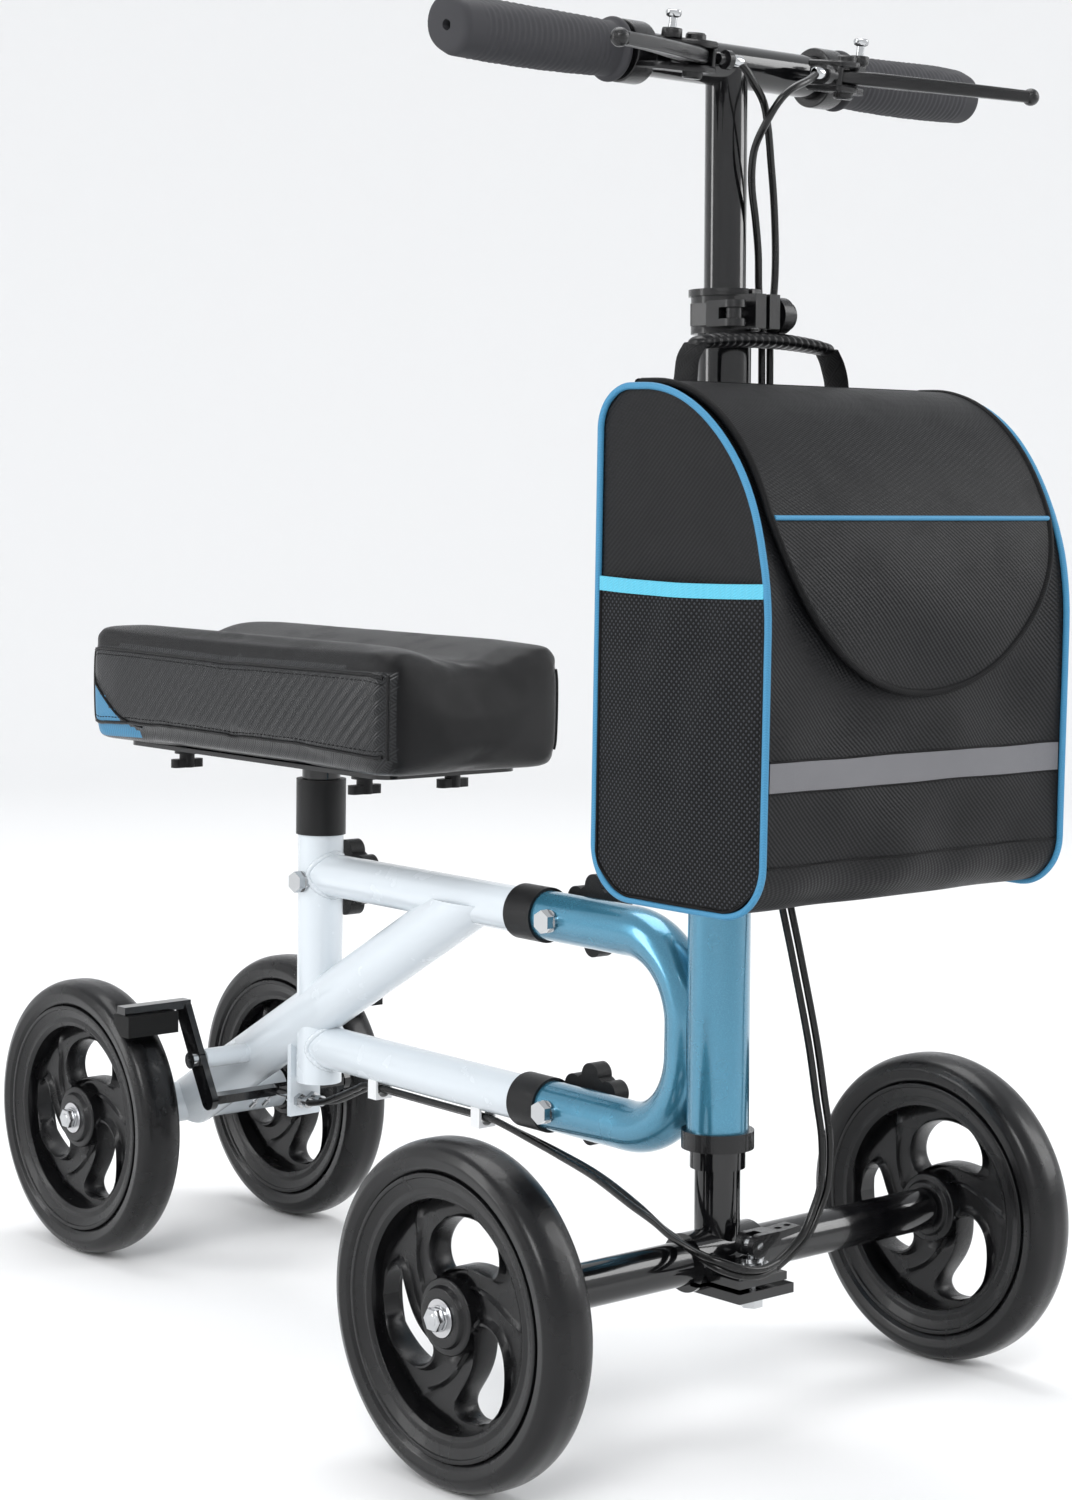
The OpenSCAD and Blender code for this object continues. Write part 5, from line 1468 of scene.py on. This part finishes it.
    def build_handle(self) -> None:
        """The carry handle: a ribbed rubber grip on webbing legs, and the loops round the column."""
        y = self.high[1] - 0.003
        turn = np.linspace(0, 2 * math.pi, 24, endpoint=False)
        u, angle = np.meshgrid(np.linspace(-1, 1, 150), turn, indexing="ij")
        x = u * self.handle_half
        drop = 0.420 - np.sqrt(0.420**2 - x**2)
        ribs = np.clip(1.6 * np.sin(x * 2 * math.pi / 0.0055 + np.sin(angle) * 1.3), -1, 1)
        size = 0.0072 * (1 - 0.16 * u**2) * (1 - np.clip(np.abs(u) * 14 - 13, 0, 1) ** 2 * 0.5)
        size = size * (1 + 0.07 * ribs * (np.abs(u) < 0.86))
        height = self.handle_top + 0.001 - drop + size * 0.62 * np.sin(angle)
        grip = lattice(np.stack([x, y + size * 1.25 * np.cos(angle), height], -1), around=True, caps=True)
        self.bench.piece("bag_handle_grip", grip, HANDLE_RUBBER, self.body, "bag_fabric", ["bag_webbing"], 50.0)
        straps = nothing()
        for side in (-1.0, 1.0):
            leg = [(side * (self.handle_half - 0.002), y, self.handle_top - 0.003),
                   (side * (self.handle_half + 0.004), y, self.handle_top - 0.012),
                   (side * (self.handle_half + 0.007), y - 0.001, self.high[2] + 0.002),
                   (side * (self.handle_half + 0.008), y + 0.0032, self.high[2] - 0.020),
                   (side * (self.handle_half + 0.008), y + 0.0040, self.high[2] - 0.060)]
            path = smooth_path(leg, 0.003)
            straps = straps + sweep(path, 0.0095, 12, squeeze=(1.0, 0.14), up=(1.0, 0.05, 0.1))
        for low in self.loop_lows:
            straps = straps + self.column_loop(low + self.loop_half)
        self.bench.piece("bag_webbing_straps", straps, WEBBING, self.body, "bag_fabric", smooth=60.0)

    def column_loop(self, height: float) -> Shape:
        """A strap round the column: a wide flat band whose front end meets the bag's back."""
        steps, inner, outer, half = 64, 0.0163, 0.0180, self.loop_half
        angle = np.linspace(0, 2 * math.pi, steps, endpoint=False)
        r = np.repeat([[inner], [inner], [outer], [outer]], steps, axis=1)
        h = np.array([-half, half, half, -half])[:, None] + height
        ring = np.stack([r * np.cos(angle), r * np.sin(angle), np.broadcast_to(h, r.shape)], -1)
        loop = lattice(np.swapaxes(STEER.at(ring), 0, 1), around=True, along=True)
        back_y, z = map(float, STEER.at(np.array([0, -0.016, height]))[1:])
        x = 0.013
        tie = extruded(rounded_corners([(-x, -half, 0.002), (x, -half, 0.002), (x, half, 0.002),
                                        (-x, half, 0.002)], 3),
                       (0, back_y + 0.001, z), (1, 0, 0), (0, 0, 1), back_y - self.high[1] + 0.0012, 0.0006)
        return loop + tie

    def build(self) -> None:
        """Makes the whole bag."""
        self.build_body()
        self.build_flap()
        self.build_handle()


# ---------- cables ----------


@dataclass
class Cables:
    """The brake cables: two side by side from the levers down the column and along to the rear brake.

    Routes are written in millimetres, as x, y and height; the fields are in metres. `gap` is the distance
    between the two centre lines, and `spread` half that distance where they part to the adjusters.
    Stretches that meet share the place where they do: the levers' cables and the loop at the column clamp,
    the loop and the steering pair under the head tube, the steering pair and the rear pair on the frame.
    """

    bench: Bench
    radius: float = 0.00225
    gap: float = 0.0055
    spread: float = 0.0057
    clamp_end: tuple[float, float, float] = (28.8, -6, 560.1)
    turn_end: tuple[float, float, float] = (0, -50.5, 4)
    frame_end: tuple[float, float, float] = (-2, 209.5, 147)

    def front(self, points: Sequence[Sequence[float]]) -> np.ndarray:
        """Points given in millimetres from the front axle, heights from the floor."""
        p = np.asarray(points, float) * MM
        return p + np.array([0.0, STEER.origin[1], 0.0])

    def raked(self, points: Sequence[Sequence[float]]) -> np.ndarray:
        """Points given in millimetres on the raked axis."""
        return STEER.at(np.asarray(points, float) * MM)

    def twin(self, path: np.ndarray, side: float, open_from: float = 2.0) -> np.ndarray:
        """One line of the pair beside a path.

        Args:
            path: the middle line.
            side: -1 or 1.
            open_from: share of the path after which the two lines part to the adjusters.

        Returns:
            The line's points.
        """
        t = directions(path)
        across = np.cross(t, np.array([0.3, 1.0, 0.6]))
        across /= np.linalg.norm(across, axis=1, keepdims=True)
        s = np.linspace(0, 1, len(path))
        parted = smooth_step(s, open_from, max(1.0, open_from + 0.1))
        width = self.gap / 2 + (self.spread - self.gap / 2) * parted
        lean = np.clip((s - open_from) / max(1e-6, 1 - open_from), 0, 1)[:, None]
        across = across * (1 - lean) + np.array([np.sign(across[-1, 0]) or 1.0, 0, 0]) * lean
        return path + side * across * width[:, None]

    def pair(self, name: str, middle_line: Sequence[Sequence[float]] | np.ndarray, nodes: Sequence[str],
             ends: tuple[str, str] | None,
             body: str = "", open_from: float = 2.0) -> None:
        """Makes one stretch of both cables.

        Args:
            name: name of the piece.
            middle_line: the route between the two.
            nodes: CAD nodes that it stands for.
            ends: the two bodies that it runs between, or None.
            body: the body it rides on, if it runs between none.
            open_from: see twin.
        """
        path = smooth_path(middle_line, 0.004)
        shape = nothing()
        for side in (-1.0, 1.0):
            shape = shape + sweep(self.twin(path, side, open_from), self.radius, 12)
        self.lay(name, shape, nodes, ends, body)

    def lay(self, name: str, shape: Shape, nodes: Sequence[str], ends: tuple[str, str] | None,
            body: str) -> None:
        """Makes the piece: with no ends it rides on its body; with ends it is baked in place and rides on none."""
        if ends is None:
            self.bench.piece(name, shape, CABLE, body, "cable_black", list(nodes), 60.0)
            return
        made = self.bench.mesh(name, shape, CABLE, 60.0)
        if nodes:
            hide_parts(*nodes)
        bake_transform(made)
        self.bench.pieces.append(name)

    def build(self) -> None:
        """Makes every stretch."""
        rear = self.front([
            self.frame_end, (-2, 271.5, 147), (-2, 338.5, 147), (-1.5, 352, 143.5), (-1, 367, 137),
            (-0.5, 381, 131), (0, 392, 127), (0, 405, 124.3), (0, 408, 124)])
        self.pair("rear_cable_pair", rear, ["rear_cables"], None, body="frame", open_from=0.72)
        steer = self.front([
            (-14, -51.5, 103), (-28, -49.5, 105), (-38, -42.5, 109), (-42, -32.5, 112), (-42, -16.5, 116),
            (-40, 1.5, 120), (-36, 31.5, 128), (-24, 81.5, 136), (-12, 131.5, 139.5), (-5, 171.5, 142.5),
            self.frame_end])
        turn = self.raked([self.turn_end])
        self.pair("steering_cable_pair", np.vstack([turn, steer]), ["steering_cables"], ("steering", "frame"))
        loop = self.raked([
            self.clamp_end, (29, -6.5, 460), (29, -7, 360), (29.5, -8.5, 300), (30, -14, 260),
            (31, -22.5, 224.5), (34, -31.5, 184.5), (38.5, -41, 134.5), (42, -45, 99), (43, -49, 74),
            (41, -50.5, 49), (35, -50, 33), (25, -50, 18), (12, -49.5, 9), self.turn_end])
        self.pair("loop_cable_pair", loop, ["loop_cables"], ("column", "steering"))
        self.bar()

    def bar(self) -> None:
        """The stretches from the levers down to the column clamp, each in a gentle S.

        Their third number is a drop below the handlebar's middle line.
        """
        top = BAR_H / MM
        x, y, height = self.clamp_end
        clamp = (x, y, top - height)
        right = [(-36, -42, 5.5), (-33, -42, 5.5), (-28, -43.5, 9.5), (-21, -42.5, 15.5), (-8, -38.5, 25.5),
                 (2, -32.5, 38.5), (11, -26, 54.5), (22, -17.5, 78), (30, -10, 106), (32, -6.5, 129),
                 clamp]
        left = [(36, -42, 5.5), (33, -42, 5.5), (27, -44.5, 8.5), (18, -47.5, 12.5), (6, -48.5, 17.5),
                (-2, -46.5, 24.5), (-6, -40.5, 35.5), (-5, -30, 48.5), (-2, -24, 59.5), (4, -18.5, 73),
                (12, -14.5, 90), (20, -10, 109), (25, -6.5, 129), clamp]
        shape = nothing()
        for side, route in ((1.0, right), (-1.0, left)):
            path = smooth_path(self.raked([(x, y, top - h) for x, y, h in route]), 0.004)
            lean = smooth_step(np.linspace(0, 1, len(path)), 0.4, 1.0)[:, None]
            beside = self.twin(path, side)
            shape = shape + sweep(path * (1 - lean) + beside * lean, self.radius, 12)
        low = self.raked([(30, -8, 590)])[0]
        high = self.raked([(10, -30, 660)])[0]
        self.lay("bar_cable_pair", shape, ["bar_cables"], ("column", "post"), "")
        inner, outer, length = 0.0024, 0.0033, 0.0085
        cap = rounded_corners([(inner, 0, 0.0002), (outer, 0, 0.0005), (outer, length, 0.0005),
                               (inner, length, 0.0002)], 2)
        rings = nothing()
        for sign in (-1.0, 1.0):
            at = self.raked([(sign * 36, -42, top - 5.5)])[0]
            rings = rings + turned(cap, at + np.array([-sign * 0.006, 0, 0]), (sign, 0, 0), 32)
        self.bench.piece("cable_end_caps", rings, CHROME, "post", "cable_black")


# ---------- grips, levers and their pins ----------


@dataclass
class Cockpit:
    """Everything that the hands touch: both grips, both brake levers and their parking pins.

    Each piece is made for the left hand, on the raked axis with the handlebar's middle line at height
    0, and mirrored for the right.
    """

    bench: Bench
    grip_in: float = 0.090
    grip_out: float = 0.210
    bar_r: float = 0.0125
    bar_gap: float = 0.0002
    droop: float = math.radians(7.5)
    pivot: tuple[float, float, float] = (0.062, -0.037, 0)
    pin_place: tuple[float, float, float] = (0.077, -0.033, 0)

    def raked(self, shape: Shape, side: float, drooped: bool = False) -> Shape:
        """The shape put on the handlebar, mirrored for the right hand.

        The lever's droop is a turn about the handlebar's middle line.
        """
        p = shape.points.copy()
        if drooped:
            c, s = math.cos(self.droop), math.sin(self.droop)
            p = np.stack([p[:, 0], p[:, 1] * c - p[:, 2] * s, p[:, 1] * s + p[:, 2] * c], -1)
        placed = Shape(p, shape.faces)
        if side < 0:
            placed = placed.mirrored()
        return placed.mapped(lambda q: STEER.at(q + np.array([0, 0, BAR_H])))

    def grip(self) -> Shape:
        """One grip: flared inner collar, body with a palm wing, and an end face with a hole.

        The section is a circle with a wing that grows on its rear half towards the outer end. Fine rings
        cover one half of the part that the hand holds, and a pattern of small raised patches the other.
        """
        u = np.linspace(0, 1, 150)[:, None]
        a = np.linspace(0, 2 * math.pi, 48, endpoint=False)[None, :]
        x = self.grip_in + (self.grip_out - self.grip_in) * u
        collar = np.exp(-((u - 0.022) / 0.020) ** 4) * 0.0030
        swell = 0.0152 + 0.0014 * np.sin(math.pi * u) + collar
        wing = 0.0085 * smooth_step(u, 0.28, 0.9) * np.clip(np.cos(a - 0.5), 0, 1) ** 2
        end = np.clip((u - 0.965) / 0.035, 0, 1)
        start = np.clip((0.012 - u) / 0.012, 0, 1)
        r = (swell + wing) * (1 - 0.16 * end**2.5) * (1 - 0.06 * start**2)
        zone = smooth_step(u, 0.10, 0.14) * smooth_step(-u, -0.90, -0.86)
        patch = np.clip(np.sin(a * 11) * np.sin(u * 150) * 2, -1, 1) * 0.00028
        rings = 0.0003 * np.sin(u * 2 * math.pi * 30)
        hold = np.clip(-np.cos(a - 0.4), 0, 1) ** 0.5
        r = r + zone * (patch * (1 - hold) + rings * hold)
        grid = np.stack([np.broadcast_to(x, r.shape), r * np.cos(a), r * np.sin(a)], -1)
        hole = grid[-1].mean(0) + (grid[-1] - grid[-1].mean(0)) * 0.22
        face = [grid[-1] * (1 - k) + hole * k + np.array([0.0012 * math.sin(k * math.pi / 2), 0, 0])
                for k in (0.2, 0.6, 0.92, 1.0)]
        well = [hole + np.array([-0.004, 0, 0])]
        bore = grid[0].copy()
        bore[:, 1] = (self.bar_r + self.bar_gap) * np.cos(a[0])
        bore[:, 2] = (self.bar_r + self.bar_gap) * np.sin(a[0])
        rows = np.concatenate([bore[None], grid, np.array(face), np.array(well)])
        return lattice(rows, around=True, caps=True)

    def blade(self) -> Shape:
        """One lever blade: a hooked cast blade with a soft edge, a dished face and a ball at the tip."""
        line = smooth_path([(0.050, -0.0290, 0), (0.062, -0.0370, 0), (0.076, -0.0475, 0), (0.092, -0.0560, 0),
                            (0.110, -0.0665, 0), (0.128, -0.0755, 0), (0.147, -0.0835, 0), (0.165, -0.0900, 0)],
                           0.0015)
        s = np.linspace(0, 1, len(line))
        width = np.interp(s, [0, 0.06, 0.16, 0.30, 0.6, 0.9, 1],
                          [0.0035, 0.0075, 0.0087, 0.0078, 0.0057, 0.0044, 0.0040])
        thick = np.interp(s, [0, 0.1, 0.3, 1], [0.0030, 0.0045, 0.0045, 0.0038])
        t = directions(line)
        over = np.cross(np.array([0, 0, 1.0]), t)
        section = rounded_corners([(-1, -1, 0.45), (1, -1, 0.45), (1, 1, 0.45), (-1, 1, 0.45)], 5)
        rows = []
        for p, o, w, h in zip(line, over, width, thick):
            rows.append([p + o * w * a + np.array([0, 0, h * b * (1 - 0.10 * math.cos(a * math.pi / 2))])
                         for a, b in section])
        ball = turned([(0.0, -0.0052)] + [(0.0052 * math.cos(q), 0.0052 * math.sin(q))
                                         for q in np.linspace(-1.45, 1.45, 18)] + [(0.0, 0.0052)],
                      (0.168, -0.091, 0), (0, 0, 1), 36, closed=False)
        return lattice(np.array(rows), around=True, caps=True) + ball

    def body(self) -> Shape:
        """One lever's clamp and body: split collar, two cheeks, pivot caps and the adjuster barrel."""
        z = (0, 0, 1.0)
        bore = self.bar_r + self.bar_gap
        collar = rounded_corners([(bore, 0.0712, 0.0003), (0.0178, 0.0712, 0.0012), (0.0178, 0.0868, 0.0012),
                                  (bore, 0.0868, 0.0003)], 4)
        parts = turned(collar, (0, 0, 0), (1.0, 0, 0), 72)
        cheek = rounded_corners([(0.0445, -0.0205, 0.003), (0.0500, -0.0445, 0.004), (0.0640, -0.0470, 0.0085),
                                 (0.0730, -0.0370, 0.004), (0.0855, -0.0330, 0.006), (0.0865, -0.0130, 0.002),
                                 (0.0715, -0.0130, 0.002), (0.0690, -0.0200, 0.005)], 5)
        for low, high in ((0.0050, 0.0090), (-0.0090, -0.0050)):
            parts = parts + extruded(cheek, (0, 0, low), (1, 0, 0), (0, 1, 0), high - low, 0.0009)
        web = rounded_corners([(0.0455, -0.0215, 0.002), (0.0500, -0.0440, 0.003), (0.0535, -0.0440, 0.001),
                               (0.0540, -0.0230, 0.002)], 3)
        parts = parts + extruded(web, (0, 0, -0.0088), (1, 0, 0), (0, 1, 0), 0.0176, 0.0006)
        boss = [(0.0, 0.0088), (0.0060, 0.0088), (0.0058, 0.0118), (0.0048, 0.0128), (0.0, 0.0130)]
        parts = parts + turned(boss, self.pivot, z, 40, closed=False)
        parts = parts + turned(boss, self.pivot, (0, 0, -1.0), 40, closed=False)
        guard = rounded_corners([(0.0028, 0.0085, 0.0002), (0.0060, 0.0085, 0.0004), (0.0058, 0.0140, 0.0009),
                                 (0.0028, 0.0140, 0.0003)], 3)
        parts = parts + turned(guard, self.pin_place, z, 40)
        barrel = [(0.0, 0.0), (0.0029, 0.0), (0.0030, 0.0028), (0.0054, 0.0030), (0.0054, 0.0068),
                  (0.0032, 0.0070), (0.0032, 0.0120), (0.0, 0.0120)]
        return parts + turned(barrel, (0.036, -0.042, 0), (1.0, 0, 0), 36, closed=False)

    def pin(self) -> Shape:
        """One parking pin: a turned mushroom head on a short stem."""
        head = [(0.0, 0.0132), (0.0023, 0.0132), (0.0023, 0.0195), (0.0040, 0.0203), (0.0046, 0.0218),
                (0.0044, 0.0234), (0.0034, 0.0240), (0.0, 0.0243)]
        return turned(head, self.pin_place, (0, 0, 1.0), 40, closed=False)

    def build(self) -> None:
        """Makes every piece for both hands."""
        grips = self.raked(self.grip(), 1) + self.raked(self.grip(), -1)
        self.bench.piece("moulded_grips", grips, GRIP_RUBBER, "post", "grip_rubber", ["grips"], 50.0)
        bodies = self.raked(self.body(), 1, True) + self.raked(self.body(), -1, True)
        self.bench.piece("cast_lever_bodies", bodies, BLACK_CAST, "post", "black_cast", ["lever_bodies"], 35.0)
        for side, word in ((1.0, "left"), (-1.0, "right")):
            self.bench.piece(f"cast_lever_{word}", self.raked(self.blade(), side, True), BLACK_CAST,
                             f"{word}_brake_lever", "black_cast", [f"lever_blade_{word}"], 45.0)
            self.bench.piece(f"parking_pin_head_{word}", self.raked(self.pin(), side, True), CHROME,
                             f"{word}_parking_pin", "pin_chrome", [f"parking_pin_{word}"], 40.0)


# ---------- weld beads ----------


@dataclass
class Welds:
    """Beads of weld where one tube of the frame meets the side of another."""

    bench: Bench
    bead: float = 0.0021

    def ring(self, through: Sequence[float], along: Sequence[float], radius: float, wall_at: Sequence[float],
             wall_axis: Sequence[float], wall_radius: float) -> Shape:
        """The bead round a tube that ends on another tube.

        Each point of the joining tube's skin is run along the tube until its distance from the other
        tube's axis equals that tube's radius; the bead's size swells and thins in small even ripples.

        Args:
            through: a point on the joining tube's middle line, clear of the other tube.
            along: direction from that point towards the other tube.
            radius: radius of the joining tube.
            wall_at: a point on the other tube's axis.
            wall_axis: direction of that axis.
            wall_radius: radius of the other tube.

        Returns:
            The bead.
        """
        d = np.asarray(along, float) / np.linalg.norm(along)
        w = np.asarray(wall_axis, float) / np.linalg.norm(wall_axis)
        u = np.cross(d, w)
        u /= np.linalg.norm(u)
        v = np.cross(d, u)
        a = np.linspace(0, 2 * math.pi, 96, endpoint=False)[:, None]
        skin = np.asarray(through, float) + radius * (np.cos(a) * u + np.sin(a) * v)
        off = skin - np.asarray(wall_at, float)
        off = off - (off @ w)[:, None] * w
        run = d - (d @ w) * w
        qa, qb, qc = run @ run, off @ run, (off * off).sum(1) - wall_radius**2
        root = np.clip(qb * qb - qa * qc, 0, None)
        path = skin + ((-qb - np.sqrt(root)) / qa)[:, None] * d
        size = self.bead * (1 + 0.14 * np.sin(a[:, 0] * 34) + 0.10 * np.sin(a[:, 0] * 5 + 1))
        return sweep(path, size, 8, closed=True, up=tuple(d + 0.01))

    def build(self) -> None:
        """The beads of the two straight arms on the seat tube."""
        seat = middle("seat_tube")
        seat_low, seat_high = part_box("seat_tube")
        seat_r = (seat_high.x - seat_low.x) / 2
        white = nothing()
        for node in ("top_arm", "lower_arm"):
            low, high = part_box(node)
            r = (high.x - low.x) / 2
            at = (0.0, high.y * 0.2 + low.y * 0.8, high.z - r)
            white = white + self.ring(at, (0, 1, 0), r, tuple(seat), (0, 0, 1), seat_r)
        self.bench.piece("arm_welds", white, WHITE_PAINT, "frame", "frame_paint", smooth=60.0)


# ---------- the whole object ----------


def main() -> None:
    """Builds the studio and every piece in order."""
    logging.basicConfig(level=logging.INFO, format="%(name)s: %(message)s")
    bench = Bench()
    Studio().build()
    bench.dress_frame()
    wheels = [
        ("front_left", 1.0, "front_left_wheel"), ("front_right", -1.0, "front_right_wheel"),
        ("rear_left", 1.0, "rear_left_wheel"), ("rear_right", -1.0, "rear_right_wheel")]
    for name, side, body in wheels:
        Wheel(bench, "tyre_" + name, "rim_" + name, body, side).build()
    for axle, body in (("front", "steering"), ("rear", "frame")):
        wheel_bolts(bench, axle + "_axle_bolts", body, [f"tyre_{axle}_left", f"tyre_{axle}_right"],
                    [f"rim_{axle}_left", f"rim_{axle}_right"])
    KneePad(bench).build()
    Bag(bench).build()
    Cables(bench).build()
    Cockpit(bench).build()
    Welds(bench).build()
    LOG.info("%d pieces made", len(bench.pieces))


if __name__ == "__main__":
    main()
